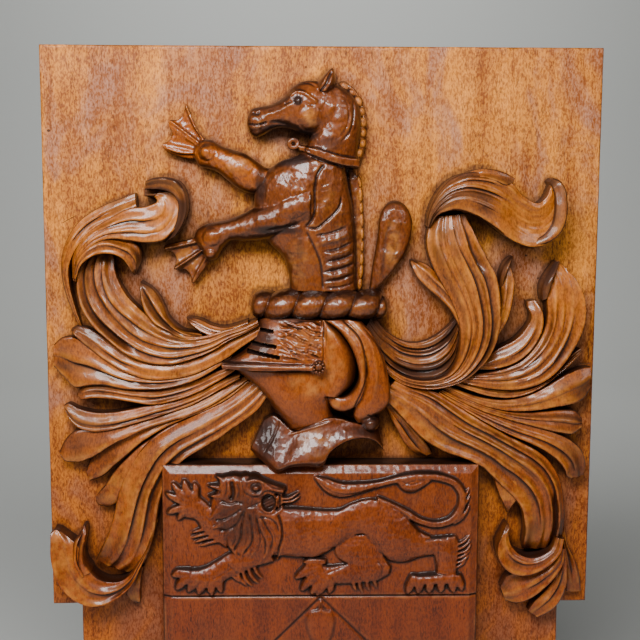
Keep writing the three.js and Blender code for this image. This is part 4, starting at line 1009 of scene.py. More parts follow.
# painted shade in some places, and pale places: painted highlights, and the fins' paler wood: x, z, half width, half
# height, share
beastShadeSpots = [
    (8,206,26,9,.55),(-40,186,26,9,.4),(-72,106,46,9,.5),(-56,240,26,6,.45),(-79,222,8,14,.45),(-70,212,18,6,.4),
    (-29,247,8,8,.45),(-118,92,14,12,.35),(30,160,8,24,.4),(-128,182,14,8,.35),(20,250,16,10,.25),(-20,130,6,26,.35),
    (-56,251,32,9,1),(-72,243,16,8,.9),(-45,220,32,7,1),(-20,213,24,9,1),(-36,187,36,10,.95),(-66,160,10,34,.8),
    (-50,114,44,8,1),(34,120,5,66,.5),(-24,96,7,30,.5),(6,200,24,5,.5)
]
# painted highlights on the cheek, jaw and tail, and the paler fins
beastPaleAndSheenSpots = [
    (-14,230.5,12,12,1),(-88,182,26,14,.7),(-148,80,28,28,.6),(39,114,6,66,1),(40,228,7,40,.7),(74,96,12,36,.9),
    (-26,78,22,34,.5),(4,152,12,28,.35)
]
beastSwells = [                                     # x, z, radius, rise
    (-14,230.5,12.5,2.4),(-122,195,9,2),(-35,152,26,3),(-8,150,14,-1.5),(14,240,14,2),(-88,184,16,2),(-60,128,14,1.5),
    (-72,226,9,1.6),(-118,106,10,2),(-20,86,22,2),(-46,168,16,1.6),(20,226,14,1.4),(75,100,13,-2)
]
# x, z pairs along each cut, then its width, depth and fade; a negative depth raises a ridge
beastCuts = [
    (1,183,-6,173,-9,158,-9,143,-10,130,-15,121,-19,117, 1.5,2.6,.05),
    (-19,117,-7,116,2,123,10,130,17,139,19,150, 1.3,2,.08),(-18,113,-9,95,-3,80,-1,65,0,52, 1.6,1.8,.05),
    (-9,108,8,111,26,118, 1.3,1.6,.2),(-1,91,15,94,32,101, 1.3,1.6,.2),(2,80,18,83,34,89, 1.3,1.6,.2),
    (-1,69,16,72,34,78, 1.3,1.6,.2),(0,59,17,61,34,67, 1.3,1.5,.2),(2,52,18,53,34,57, 1.2,1.3,.2),
    (-4,101,12,104,29,110, 3.8,-2.4,.2),(2,86,17,89,32,95, 3.4,-2.2,.2),(2,75,18,77,33,83, 3,-2,.2),
    (2,64,18,66,33,72, 3,-1.8,.2),(26,177,30,146,34,109,35.5,53, 1.3,2.2,.04),
    (24,263,37,250,41,233,38,215,36,195, 1.2,2,.05),(31,249,31,231,26,214,18,206, 1.1,1.3,.15),
    (25,246,26,231,21,216,13,208, 1,.8,.2),(-80,223.5,-68,223.3,-59,226, 1.1,2.2,.08),
    (-59,226,-46,226,-33,221,-24,214, 2.4,1.6,.2),(-75,236,-69,234.5,-66,237, 1.4,2,.2),
    (-64,233,-52,236,-40,241,-33,246, 2.2,-1,.2),(-36,252,-29,257.5,-20,256,-12,250,-6,246, 1.8,-2,.12),
    (-42,244,-37,246,-33,248, 1.3,1.4,.2),(-21,247,-16,244,-10,243.5, 1.3,.9,.2),
    (-113,194.6,-116,188,-122.4,185.4,-129,188,-132,194.6, 1.3,.7,.2),(-4,257,2,265,6,274,8.5,279, 1.7,3.2,.12),
    (-8,262,-12,265,-28,267, 1.2,1,.2),(-15,201,5,196,20,192,33,190.5, .9,1.6,.03),
    (-13,190.5,0,185,15,181.5,36,179, .9,1.6,.03),(-20,198,-14,196, 1,1.4,.05),(-60,113,-40,117,-24,121, 1.6,2,.2),
    (-40,190,-55,180,-60,168, 3,1,.2),(-135,100,-152,96,-170,92.5, 1.6,-2.2,.06),
    (-128,92,-145,80,-160,70.5, 1.5,-2.2,.06),(-124,86,-133,70,-140,55.5, 1.4,-1.5,.06),
    (-133,97.5,-150,93,-164,90, .8,.7,.1),(-128,89,-142,76.5,-154,69, .8,.7,.1),
    (-126,208,-136,222,-145,245, 1.4,-1.5,.06),(-130,204,-146,216,-162,228, 1.4,-1.5,.06),
    (-134,193.5,-150,194,-166,199, 1.4,-1.5,.06),(-128.5,208,-139,224,-146,240, .8,.7,.1),
    (-131,202,-146,213,-160,224, .8,.7,.1),(-44,172,-38,160, 1,.9,.2),(-39,172,-33,160, 1,.9,.2),
    (-34,170,-28,158, 1,.9,.2),(-29,169,-23,157, 1,.9,.2),(-24,168,-18,156, 1,.9,.2),(-38,157,-32,146, 1,.8,.2),
    (-32,156,-26,145, 1,.8,.2),(-3,160,5,163, .9,.8,.2),(-4,155,6,157, .9,.8,.2),(-60,84,-66,90, 1,.5,.2),
    (64,60,66,90,70,116,76,126, 2.6,1,.2),(72,70,78,92,82,110, 2.2,.7,.25)
]


def beastPart(name, settings):
    names = beastGroups.get(name) or [n for n in beastForms if not any(n in group for group in beastGroups.values())]
    parts = [bodyForm(beastForms[n], settings) for n in names]
    if name == "farArm":
        parts += [ballPart(*settings["farWrist"])]
    if name == "beast":
        parts += [ballPart(*settings["nearWrist"]), ballPart(*settings["stud"]), ringPart(*settings["collarRing"])]
    part = skinOver(name, parts, settings)
    for swell in beastSwells:
        bump(part, *swell)
    cutAll(part, beastCuts)
    tint(part, beastShadeSpots)
    tint(part, beastPaleAndSheenSpots, "wearAndSheen")
    x, z = settings["eye"]
    socket = np.hypot(part.x - x, part.z - z)
    bump(part, x, z, 3.6, 2.4, 2.6)
    # painted shade in a ring round the eyeball
    part.dirt = np.maximum(part.dirt, ease(-socket, -6.2, -4.6) * .95)
    tooled(part, settings["scoop"], settings["scoopDepth"], 5)
    return part


beast = {name: beastPart(name, beastSettings) for name in ("beast", *beastGroups)}
standsHere(beast.values())
print("beast carved")

# helmet
helmetSettings = {"voxel": .85, "step": 1.4, "samples": 25, "softening": 1, "slotDepth": 9.0, "hatchPeriod": 3.9,
                  "hatchDepth": 4.6, "hatchLength": 14.0,
                  "scoop": 6.5, "scoopDepth": {"helmet": .45, "gorget": .75, "drape": .6},
                  "pivot": (-4.6, -30, 6.6, 44, 8), "drapeKnot": (52, -95, 11.5, 14, 24)}
# one skin each
helmetGroups = {"helmet": ("visor", "bevor", "rim", "capSide"), "gorget": ("gorget",),
                "drape": ("drapeInner", "drapeOuter")}
# painted shade on the flanks and parts turned away from the light
helmetShadeSpots = {
    "helmet": [(-66,-2,24,34,.8),(-30,19,46,7,.7),(-88,-30,26,12,.7),(-4.6,-30,11,11,.6),(-52,-84,14,30,.4),
        (30,-40,8,36,.5),(-30,-102,16,8,.4)],
    "gorget": [(-60,-112,22,40,.85),(-40,-142,18,14,.5),(48,-108,26,14,.5),(-30,-96,24,8,.6)],
    "drape": [(58,-60,10,34,.35),(52,-92,16,14,.8),(24,-76,12,8,.35)],
}
# painted highlights on the drape and bevor
helmetPaleAndSheenSpots = {
    "helmet": [(8,-2,14,22,.6),(-22,0,26,16,.4),(-14,-50,30,20,.6),(12,-34,16,26,.6)],
    "gorget": [(-6,-114,26,20,.6)],
    "drape": [(30,8,16,18,.9),(44,-20,8,40,.5),(14,-70,10,10,.5)],
}
helmetSmooth = [                                    # x, z and how far the cap is rubbed smooth
    (14,-8,14),(18,-24,18),(16,-42,20),(0,-50,22),(-30,-58,26),(-60,-46,16),(-12,-80,20),(-84,-36,6)]
visorSlots = [                                      # left x, right x, left z, right z, half height
    (-68.5,-53,8.2,6.4,1.5),(-75,-50,-6.4,-9.2,1.5),(-80.5,-46.5,-14.5,-20.5,1.6)
]
helmetCuts = [
    (.3,18,.3,-25, .8,1.2,.03),(2.6,18,2.6,-22, .8,.5,.03),(-107,-27.6,-60,-28.2,-12,-29.2, .8,1.3,.02),
    (-107,-31.6,-60,-32.6,-12,-33, .8,1,.02),(-104,-34.5,-60,-36,-12,-36, 1,1.2,.03),
    (-36,-107,-14,-99.5,10,-92, 1.1,-.9,.1),(-35,-104,-14,-97,6,-90.5, .8,.5,.1),
    (22,18,38.5,1,45,-21,46,-40,42,-56,36,-70,33,-78, 1,1.8,.06),
    (32,16,48,-2,55,-22,57,-44,54,-62,46,-76, 2.6,-1.4,.2),(41,14,58,-8,66,-30,69,-48, 1,.8,.2),
    (8,16.5,25,5,36,-12,41.5,-32,41,-46, 2,-.9,.15),(48,-84,54,-88,60,-90, .9,1.4,.1),
    (-45,-89,-52,-108,-64,-128, 1.2,1,.15)
]


def helmetPart(name, names, settings):
    parts = [bodyForm(helmetForms[n], settings) for n in names]
    extra = {"helmet": "pivot", "drape": "drapeKnot"}.get(name)
    part = skinOver(name, parts + ([ballPart(*settings[extra])] if extra else []), settings)
    if name == "helmet":
        softenAt(part, helmetSmooth, 40)
        x, z = part.x, part.z
        # diagonal gouge strokes between the slots and the upright line
        inside = ease(x, -50, -42) * ease(-x, 1.2, 3) * ease(z, -26, -22) * ease(-z, -18.5, -15)
        slanted = z + .3 * x + 1.6 * softNoise(x / 11, z / 9, 8)
        stroke = scoops((x - .3 * z) / settings["hatchLength"], slanted / settings["hatchPeriod"], 3)
        front = facing(part, 3.0, .2)
        part.y -= front * inside * settings["hatchDepth"] * (stroke - .25)
        # painted shade in the bottoms of the gouge strokes
        part.dirt = np.maximum(part.dirt, inside * front * np.clip(.45 - 1.4 * stroke, 0, .4))
    else:
        soften(part, 5)
    cutAll(part, helmetCuts, 3.0)
    if name == "helmet":
        front = facing(part, 3.0, .2)
        for x1, x2, zLeft, zRight, half in visorSlots:
            middle = zLeft + (zRight - zLeft) * np.clip((part.x - x1) / (x2 - x1), 0, 1)
            hole = ease(part.x, x1 - .6, x1 + .5) * ease(-part.x, -x2 - .6, -x2 + .5)
            hole = hole * ease(half + .4 - np.abs(part.z - middle), 0, .9)
            part.y += hole * settings["slotDepth"] * front
            # painted shade fills the slots
            part.dirt = np.maximum(part.dirt, hole)
    tint(part, helmetShadeSpots[name])
    tint(part, helmetPaleAndSheenSpots[name], "wearAndSheen")
    tooled(part, settings["scoop"], settings["scoopDepth"][name], 15)
    return part


helmet = {name: helmetPart(name, names, helmetSettings) for name, names in helmetGroups.items()}
standsHere(helmet.values())
print("helmet carved")

# shield and the lion on its chief
shieldSettings = {"width": 346.0, "height": 434.0, "face": 33.0, "top": -140.5, "centre": -1.25, "straight": .44,
                  "chiefDepth": 147.0, "bevel": 9.5, "bevelDrop": 5.0, "grooveWidth": 1.3, "grooveDepth": 1.8,
                  "lozenge": 108.0, "lozengeGap": 1.0, "chiefCell": .9, "fieldCell": 1.25, "edgeRadius": 1.2}
lionSettings = {"eye": (-71.5, -162), "mouth": (-58, -179.5), "mane": (-92, -196, 34, 46),
                "crown": (-84, -165, 32, 18)}
faceY = boardFront - shieldSettings["face"]
chiefLine = shieldSettings["top"] - shieldSettings["chiefDepth"]
lionCuts = [
    (-84,-157,-76,-153.5,-68,-154,-61,-159, 1.3,-1.8,.15),(-80,-166,-71.5,-169.5,-63,-167, 1.2,-1.2,.15),
    (-89,-152,-86,-164,-88,-176, 1.3,-1.6,.15),(-58,-163,-48,-166,-39,-168, 1.6,-1.2,.15),
    (-98.5,-155,-96.5,-163,-96.5,-171,-100,-177, 2.2,4.2,.12),(-92,-156,-90,-166,-93,-176, .9,1.6,.15),
    (-103,-154,-103.5,-164,-105,-172, .9,1.6,.15),(-87,-157,-84,-166,-76,-172,-67,-173, 1,1.4,.12),
    (-60,-158,-52,-162,-43,-164, .8,1.1,.2),(-66,-170,-62,-166.5,-50,-168.5,-41,-170.5, 1,1.8,.08),
    (-69,-186,-60,-191.5,-50,-190,-45,-184, .9,1.2,.1),(-42,-163,-38.5,-168,-42,-172, .9,1.2,.1),
    (-86,-180,-92,-178,-100,-180,-110,-177, 1.2,2.4,.06),(-87,-185,-96,-192,-108,-198,-116,-199.5, 1.1,2.2,.06),
    (-86,-190,-92,-202,-104,-210,-112,-211, 1.1,2.2,.08),(-84,-186,-87,-204,-88,-216,-96,-234, 1.1,2.2,.06),
    (-79,-190,-76,-208,-76,-222,-86,-237, 1,2,.06),(-72,-192,-68,-208,-62,-222,-62.5,-238, 1,2,.06),
    (-66,-194,-60,-206,-54,-218,-56,-232, .9,1.8,.08),(-70,-195,-58,-196,-50,-202,-47,-212, .9,1.8,.08),
    (-97,-206,-94,-220,-98,-228, .8,1.4,.15),(-81,-202,-81,-216,-84,-228, .8,1.2,.15),
    (-70,-205,-67,-220,-70,-232, .8,1.2,.15),(-58,-204,-52,-214,-51,-226, .7,1.1,.15),
    (-48,-192,-44.5,-204,-43.5,-216,-47,-230,-49,-243, 1.2,2.6,.04),(-63,-176,-74,-182,-82,-184, .9,1.4,.1),
    (74,-184,92,-197,106,-214,111,-222, .8,.9,.08),(66,-180,86,-191,104,-204,118,-210, .8,.9,.1),
    (-4,-157,8,-167,25,-171,45,-168.5,62,-162, .8,1.2,.1),(0,-153.5,14,-161,30,-164, .8,1,.2),
    (4,-168,18,-172.5,34,-171.5, .7,1,.2),(84,-156,94,-160,108,-158, .8,1.2,.15),(86,-163,94,-158,102,-157, .7,1,.2),
    (64,-177.5,92,-191,108,-203,126,-206,140,-202,149,-187,151,-172,143,-160,128,-154, .7,.7,.05),
    (-98,-252,-110,-260,-122,-266, .8,.8,.2),(-104,-247,-96,-255,-91,-262, .9,1,.15),
    (26,-252,14,-256,2,-260, .8,.8,.2),(60,-246,66,-253,64,-264, 1,1.2,.15),
    (108,-262.5,122,-261,138,-262, .9,1.4,.15),(-131,-187,-124,-197,-116,-206, .8,.7,.2),
    (128,-224,127,-240,126,-258, .9,.8,.2),(112,-223,124,-221.5,138,-221, .9,1.2,.1)
]
# toes, claws and hair: x, z pairs from root to tip, then half width and height
lionStrokes = [
    (-141,-172,-147,-165,-149,-157, 3.4,6.5),(-145,-176,-155,-168,-161,-160, 3.4,6.5),
    (-147,-181,-158,-176,-168,-171, 3.4,6.5),(-147,-186,-158,-188,-166.5,-192, 3.4,6.5),
    (-144,-189,-151,-193,-155.5,-199, 3.2,6),(-137,-175,-136,-168,-138,-160, 3,6),
    (-146,-259,-154,-258.5,-161.5,-262, 4.4,7.5),(-143,-264,-151,-268,-157.5,-277, 4.2,7.8),
    (-136,-266,-141,-272,-145,-279, 4.2,8.2),(-127,-267,-131,-274,-134.5,-282, 4.2,8.2),
    (-118,-266,-121,-274,-120.5,-283, 4.2,8),(-111,-264,-112,-272,-110.5,-280.5, 3.6,7),
    (-4,-254,-16,-257,-27.5,-265, 4,7),(-4,-260,-13,-267,-21.5,-278.5, 4.2,7.8),(0,-264,-5,-273,-11,-282, 4.2,8.2),
    (5,-266,1,-274,-4.8,-284, 4,8),(9,-266,10,-275,8,-282, 3.6,7),(2,-247,-9,-245.5,-19.5,-247.5, 2.8,6.5),
    (-4,-250,-12,-250,-20,-254, 2.4,6),(101,-266,97,-274,94.5,-283, 3.8,7),(109,-267,107,-274,106,-282, 4.2,8.2),
    (119,-267,118.5,-274,118,-281.5, 4.4,8.5),(130,-267,131,-274,130.5,-281, 4.2,8.2),
    (141,-266,143,-273,144.5,-281.5, 4,8),(149,-265,152,-272,153.5,-280, 3.4,7),
    (148,-229,155,-226,161.6,-219, 1.5,4.5),(148,-234,156,-231,163,-224.5, 1.5,4.5),
    (148,-239,157,-236,163.5,-230, 1.5,4.5),(148.5,-244,156,-241,162.5,-235.5, 1.5,4.5),
    (149,-249,155,-246.5,161,-241, 1.5,4.5),(149,-254,154,-251,158,-247, 1.4,4),(-114,-208,-130,-211,-143,-215, 2,5),
    (-112,-213,-128,-216,-143.5,-221, 2,5),(-111,-218,-126,-221,-140,-226, 2,5),
    (-110,-223,-122,-226,-134,-230, 2,4.5),(-99,-256,-96,-264,-90,-270.5, 2.1,4.6),
    (-93,-256,-90,-266,-82,-275, 2.1,4.6),(-87,-254,-84,-266,-76,-276, 2.1,4.6),
    (-81,-252,-77,-264,-69,-272.5, 2.1,4.6),(-75,-250,-71,-260,-65,-267, 1.9,4.4),(34,-267,35,-274,38,-282, 2,4.4),
    (41,-267,42,-276,45,-284, 2,4.4),(49,-265,50,-274,53,-282, 2,4.4),(56,-262,58,-271,61,-278.5, 2,4.4),
    (-44,-176,-36,-175.5,-26,-170, 1.5,7),(-44,-180,-34,-179.5,-25,-174.5, 1.5,6.5),(-48,-173,-47.5,-187, 1.3,8),
    (-44.5,-172,-44.5,-185, 1.2,7.5),(148,-200,156,-194,160.5,-184, 1.8,5),(144,-205,152,-200,158.5,-192, 1.7,4.6),
    (152,-180,157,-172,160,-166, 1.5,4.6),(152,-188,158,-180,161,-173, 1.5,4.6),(-92,-168,-108,-164,-124,-161.5, 4,9),
    (-92,-160,-104,-156,-115,-150.8, 3.8,10),(-90,-173,-108,-172,-123.5,-173, 4.2,10),
    (-86,-178,-100,-182,-113,-188,-120.5,-197, 6.4,12),(-86,-184,-98,-196,-109,-204,-119,-208, 5.8,12.5),
    (-84,-192,-96,-206,-103,-213,-106,-219, 5,11),(-84,-196,-94,-212,-99,-224,-93,-239, 6,11.5),
    (-80,-186,-84,-206,-83,-222,-88,-240, 6.2,13),(-75,-188,-73,-208,-70,-224,-78,-240, 6,13),
    (-69,-190,-66,-208,-60,-224,-63,-242, 5.4,12.5),(-64,-190,-56,-204,-51,-220,-54,-238, 5,11.5),
    (-60,-190,-49,-200,-44,-216,-49,-245, 4.6,10),(-95,-156,-96,-152,-93,-149, 3.6,10),
    (-86,-155,-84,-152,-80,-149.5, 3.6,11),(-104,-158,-105,-154,-103,-150, 3,10),
    (-66,-186,-60,-193,-52,-194,-45,-190, 2.6,9),(-66,-180,-68,-188,-62,-192, 3,9.5),
    (-50,-192,-46,-196,-48,-202, 2.2,8),(-72,-154,-60,-160,-48,-163.5,-40,-166, 3.6,12.5),
    (-84,-164,-76,-171,-66,-172,-58,-166, 2.4,13)
]
lionSwells = [                                      # x, z, radius, rise
    (84,-216,30,2.4),(40,-196,26,.9),(-28,-208,24,1),(68,-256,12,1.6),(34,-234,16,1),(-88,-246,16,1.4),
    (-124,-194,14,1),(136,-236,10,1.2),(10,-262,12,1.2),(-136,-262,14,1.2)
]


def lionField(settings, lion):
    half, centre = settings["width"] / 2, settings["centre"]
    field = Field(centre - half, chiefLine, centre + half, settings["top"], settings["chiefCell"] / 2)
    for name, form in lionForms.items():
        if name != "lozengeLeaf":
            field.lay(*form)
    shape = field.level.shape
    x, z, level = field.x.reshape(-1), field.z.reshape(-1), field.level.reshape(-1)
    dirt = np.zeros_like(level)
    for *flat, wide, high in lionStrokes:
        line = smoothLine(np.reshape(flat, (-1, 2)), 1.5)
        near = nearLine(x, z, line, wide)
        distance, share = distanceTo(x[near], z[near], line)
        late = np.clip((share - .4) / .6, 0, 1)
        if 5.9 < high < 8.9:                # toes are blunt and touch each other
            reach = 1.28 * wide * (1 - .5 * late ** 3)
        else:
            reach = 1.1 * wide * (1 - .85 * late ** (1.5 if high > 8.9 else 3))
        form = dome(distance / reach)
        raised = np.maximum(level[near], high * (.35 + .65 * form) * (1 - .22 * share))
        level[near] = np.where(form > 0, raised, level[near])
    level[:] = np.minimum(level, 9) + .5 * np.maximum(level - 9, 0)
    body = level > .5
    pillow = boxBlur(level.reshape(shape), 6, 5)
    broad = boxBlur(pillow, 14, 10)
    level[body] = .42 * level[body] + .35 * pillow.reshape(-1)[body] + .36 * broad.reshape(-1)[body]
    for x1, z1, radius, rise in lionSwells:
        level[body] += rise * np.clip(1 - np.hypot(x[body] - x1, z[body] - z1) / radius, 0, 1) ** 1.2
    for cut in lionCuts:
        cutLine(x, z, level, dirt, cut)
    mouthX, mouthZ = lion["mouth"]
    mouth = np.hypot((x - mouthX) / .86, z - mouthZ)
    level[:] = np.maximum(level, 8.5 * dome((mouth - 9.6) / 2.4))
    hole = ease(-mouth, -9.4, -7.8)
    level[:] = level * (1 - hole) + 1.5 * hole
    for offset in (-3.5, 0, 3.5):                   # the tongue's folds
        level += 1.6 * hole * bell(z - mouthZ + 1 + offset - .45 * (x - mouthX))
    # painted shade in the open mouth
    dirt[:] = np.maximum(dirt, hole * .8)
    for (x1, z1, wide, high), share in ((lion["mane"], .66), (lion["crown"], .45)):
        dark = share * ease(-np.hypot((x - x1) / wide, (z - z1) / high), -1, -.4)
        dirt[body] = np.maximum(dirt[body], dark[body])
    eyeX, eyeZ = lion["eye"]
    eye = np.hypot((x - eyeX) / 1.25, z - eyeZ)
    level -= 1.6 * bell((eye - 4.6) / 1.2)
    # painted shade round the eye
    dirt[:] = np.maximum(dirt, .85 * bell((eye - 4.4) / 1.3))
    level += 2.6 * dome(eye / 3.2)
    level[body] += .9 * scoops(x[body] / 6, z[body] / 5, 21) + .18 * softNoise(x[body] / 1.9, z[body] / 2.3, 24)
    level[~body] += .22 * softNoise(x[~body] / 3.5, z[~body] / 5, 22)
    level, dirt = level.reshape(shape), dirt.reshape(shape)
    # painted shade where the level lies below its surroundings
    dirt = np.maximum(dirt, np.clip((boxBlur(level, 3, 2) - level - .3) * .26, 0, .7))
    return boxBlur(level, 1, 1), dirt, field


def slabFrom(x, z, y, dirt):
    # a closed slab: a front of points on a grid, upright sides, a flat back sunk in the board
    index = np.arange(x.size).reshape(x.shape)
    front = np.stack([x, y, z], axis=-1).reshape(-1, 3)
    rim = np.concatenate([index[:-1, 0], index[-1, :-1], index[:0:-1, -1], index[0, :0:-1]])
    back = front[rim]
    back[:, 1] = boardFront + sunk
    count, start = len(rim), len(front)
    sides = gridQuads(np.stack([rim, start + np.arange(count)]), (0, 1))
    k = np.arange(0, count, 2)
    fan = np.stack([0 * k + count, (k + 2) % count, (k + 1) % count, k], axis=-1) + start
    points = np.concatenate([front, back, back.mean(axis=0)[None]])
    # painted shade fills the slab's sides and back
    dirt = np.concatenate([dirt.reshape(-1), np.ones(count + 1)])
    return outward(Part(points, np.concatenate([gridQuads(index), sides, fan]), dirt))


def shieldEdge(z, settings):
    # half the shield's width at a height
    half, point = settings["width"] / 2, settings["top"] - settings["height"]
    straight = settings["top"] - settings["height"] * settings["straight"]
    rise = np.clip((straight - z) / (straight - point), 0, 1) * math.sin(math.pi / 3)
    return np.maximum(np.where(z > straight, half, 2 * half * np.sqrt(1 - rise ** 2) - half), 0)


def bevelDrop(distance, settings):
    return settings["bevelDrop"] * np.clip(1 - distance / settings["bevel"], 0, 1)


def worn(distance, settings):
    # how far a rounded edge has dropped at a distance from it
    radius = settings["edgeRadius"]
    return radius - np.sqrt(np.maximum(radius ** 2 - np.maximum(radius - distance, 0) ** 2, 0))


def carvedFace(x, z, raised, drop, dirt, settings):
    # the shield's face with the groove under the chief
    toLine = z - chiefLine
    groove = settings["grooveDepth"] * bell(toLine / settings["grooveWidth"])
    y = faceY - raised + drop + groove + .1 * softNoise(x / 14, z / 40, 31)
    # painted shade along the groove under the chief
    return slabFrom(x, z, y, np.maximum(dirt, .8 * bell(toLine)))


def evenCells(low, high, cell):
    return np.linspace(low, high, 2 * int(round((high - low) / cell / 2)) + 1)


def chiefPart(settings):
    level, dirt, field = lionField(settings, lionSettings)
    half, centre = settings["width"] / 2, settings["centre"]
    x, z = np.meshgrid(evenCells(centre - half, centre + half, settings["chiefCell"]),
                       evenCells(chiefLine, settings["top"], settings["chiefCell"]), indexing="ij")
    near = field.cells(x, z)
    toSide, toTop = half - np.abs(x - centre), settings["top"] - z
    drop = np.maximum(bevelDrop(toSide, settings), bevelDrop(toTop, settings))
    drop += 2.2 * np.clip(1 - toTop / 36, 0, 1) ** 2
    return carvedFace(x, z, level[near], drop + worn(np.minimum(toSide, toTop), settings), dirt[near], settings)


def lowerShieldPart(settings):
    centre, cell = settings["centre"], settings["fieldCell"]
    zs = evenCells(settings["top"] - settings["height"], chiefLine, cell)
    s, z = np.meshgrid(evenCells(-1, 1, 2 * cell / settings["width"]), zs, indexing="ij")
    half = np.maximum(shieldEdge(z, settings), .05)
    x = centre + s * half
    slope = np.gradient(shieldEdge(zs, settings), zs)
    toSide = (half - np.abs(x - centre)) / np.sqrt(1 + slope ** 2)
    level, dirt = np.zeros((2, x.size))
    top, reach = chiefLine - settings["lozengeGap"], settings["lozenge"]
    corners = [(centre, top), (centre + reach, top - reach), (centre, top - 2 * reach), (centre - reach, top - reach)]
    for start, end in zip(corners, corners[1:] + corners[:1]):
        cut = (*start, *end, settings["grooveWidth"], settings["grooveDepth"], .01)
        cutLine(x.reshape(-1), z.reshape(-1), level, dirt, cut)
    leaf = Field(-40, -360, 40, -288, .6)
    leaf.lay(*lionForms["lozengeLeaf"])
    raised = level.reshape(x.shape) + boxBlur(leaf.level, 1)[leaf.cells(x, z)]
    drop = bevelDrop(toSide, settings) + worn(toSide, settings)
    return carvedFace(x, z, raised, drop, dirt.reshape(x.shape), settings)


chief, lowerShield = chiefPart(shieldSettings), lowerShieldPart(shieldSettings)
standsHere((chief, lowerShield))
print("shield carved")


# pieces that follow a path, as geometry nodes
def endTree(nodes, given, out, geometry):
    geometry = nodes.out("GeometryNodeRealizeInstances", {0: geometry})
    geometry = nodes.out("GeometryNodeSetShadeSmooth", {0: geometry})
    geometry = nodes.out("GeometryNodeSetMaterial", {"Geometry": geometry, "Material": given["Wood"]})
    nodes.fill(out, {"Geometry": geometry})
    return nodes.tree


def grow(name, points, tree, values, wood):
    # runs the tree on a path through the points and keeps the plain mesh
    curve = bpy.data.curves.new(name, "CURVE")
    curve.dimensions = "3D"
    spline = curve.splines.new("POLY")
    spline.points.add(len(points) - 1)
    for point, place in zip(spline.points, points):
        point.co = (*[v * mm for v in place], 1)
    path = addObject(name + "Path", curve)
    modifier = path.modifiers.new(name, "NODES")
    modifier.node_group = tree
    values = {**values, "Wood": woods[wood]}
    for item in tree.interface.items_tree:
        if item.name in values:
            modifier[item.identifier] = values[item.name]
    mesh = plainMesh(path)
    mesh.name = name
    return mesh


def keepGrown(name, mesh):
    part = Part(readPoints(mesh), None)
    soilAndShade(part)
    hollowShadeAndProudSheen(part, 3.0, readValues(mesh.edges, "vertices", 2, np.int32), readValues(mesh.vertices, "normal", 3), 1)
    finishPiece(name, mesh, part)


wreathSettings = {"strands": 5, "radius": 17.4, "depthScale": 1.5, "bulge": 4.6, "centreY": -48.0, "level": 33.5,
                  "from": -77, "to": 70.5, "shift": .38, "bow": (5, -1.5)}


def makeWreathTree():
    # a roll along a path whose lobes wind round it
    nodes, given, out = newTree("GeometryNodeTree", "wreathTwist", [
        ("Geometry", "Geometry"), ("Strands", "Int", 5), ("Shift", "Float", 0.0), ("Radius", "Float", .016),
        ("Depth Scale", "Float", 1.5), ("Bulge", "Float", .005), ("Axis Y", "Float", -.048), ("Wood", "Material")],
        [("Geometry", "Geometry")])
    fraction = nodes.out("GeometryNodeSplineParameter", slot="Factor")

    def captured(curve, label):
        # keeps each point's place along the curve
        kept = nodes.add("GeometryNodeCaptureAttribute")
        kept.capture_items.new("FLOAT", label)
        nodes.fill(kept, {0: curve, 1: fraction})
        return kept.outputs[0], kept.outputs[1]

    line = nodes.out("GeometryNodeResampleCurve", {"Curve": given["Geometry"], "Count": 240})
    line, along = captured(line, "along")
    fromMiddle = nodes.calc("ABSOLUTE", nodes.calc("SUBTRACT", nodes.times(fraction, 2.0), 1.0))
    endRound = nodes.calc("MAXIMUM", nodes.calc("SUBTRACT", 1.0, nodes.calc("POWER", fromMiddle, 15.0)), .004)
    endRound = nodes.calc("SQRT", endRound)
    line = nodes.out("GeometryNodeSetCurveRadius", {"Curve": line, "Radius": endRound})
    circle = nodes.out("GeometryNodeCurvePrimitiveCircle", {"Resolution": 96, "Radius": given["Radius"]})
    profile, around = captured(circle, "around")
    roll = nodes.out("GeometryNodeCurveToMesh", {
        "Curve": line, "Profile Curve": profile, "Scale": endRound, "Fill Caps": True})
    phase = nodes.plus(nodes.times(along, given["Strands"]), around, given["Shift"])
    lobe = nodes.calc("POWER", nodes.calc("ABSOLUTE", nodes.calc("SINE", nodes.times(phase, math.pi))), .55)
    position = nodes.out("GeometryNodeInputPosition")
    push = nodes.plus(nodes.times(nodes.calc("SUBTRACT", lobe, 1.0), given["Bulge"]),
                      nodes.times(nodes.calc("SUBTRACT", nodes.noise(position, 170), .5), .0012))
    normal = nodes.out("GeometryNodeInputNormal")
    offset = nodes.out("ShaderNodeVectorMath", {0: normal, "Scale": push}, operation="SCALE")
    roll = nodes.out("GeometryNodeSetPosition", {"Geometry": roll, "Offset": offset})
    place = nodes.split(position)
    fromAxis = nodes.calc("SUBTRACT", place["Y"], given["Axis Y"])
    deeper = nodes.plus(given["Axis Y"], nodes.times(fromAxis, given["Depth Scale"]))
    position = nodes.out("ShaderNodeCombineXYZ", {"X": place["X"], "Y": deeper, "Z": place["Z"]})
    return endTree(nodes, given, out, nodes.out("GeometryNodeSetPosition", {"Geometry": roll, "Position": position}))


def growWreath(settings):
    xs = np.linspace(settings["from"], settings["to"], 60)
    bow = ((xs - (settings["from"] + settings["to"]) / 2) / ((settings["to"] - settings["from"]) / 2)) ** 2
    deep, high = settings["bow"]
    points = np.column_stack([xs, settings["centreY"] + deep * bow, settings["level"] + high * bow]).tolist()
    values = {"Strands": settings["strands"], "Shift": settings["shift"], "Radius": settings["radius"] * mm,
              "Depth Scale": settings["depthScale"], "Bulge": settings["bulge"] * mm,
              "Axis Y": settings["centreY"] * mm}
    return grow("wreath", points, makeWreathTree(), values, "crestWood")


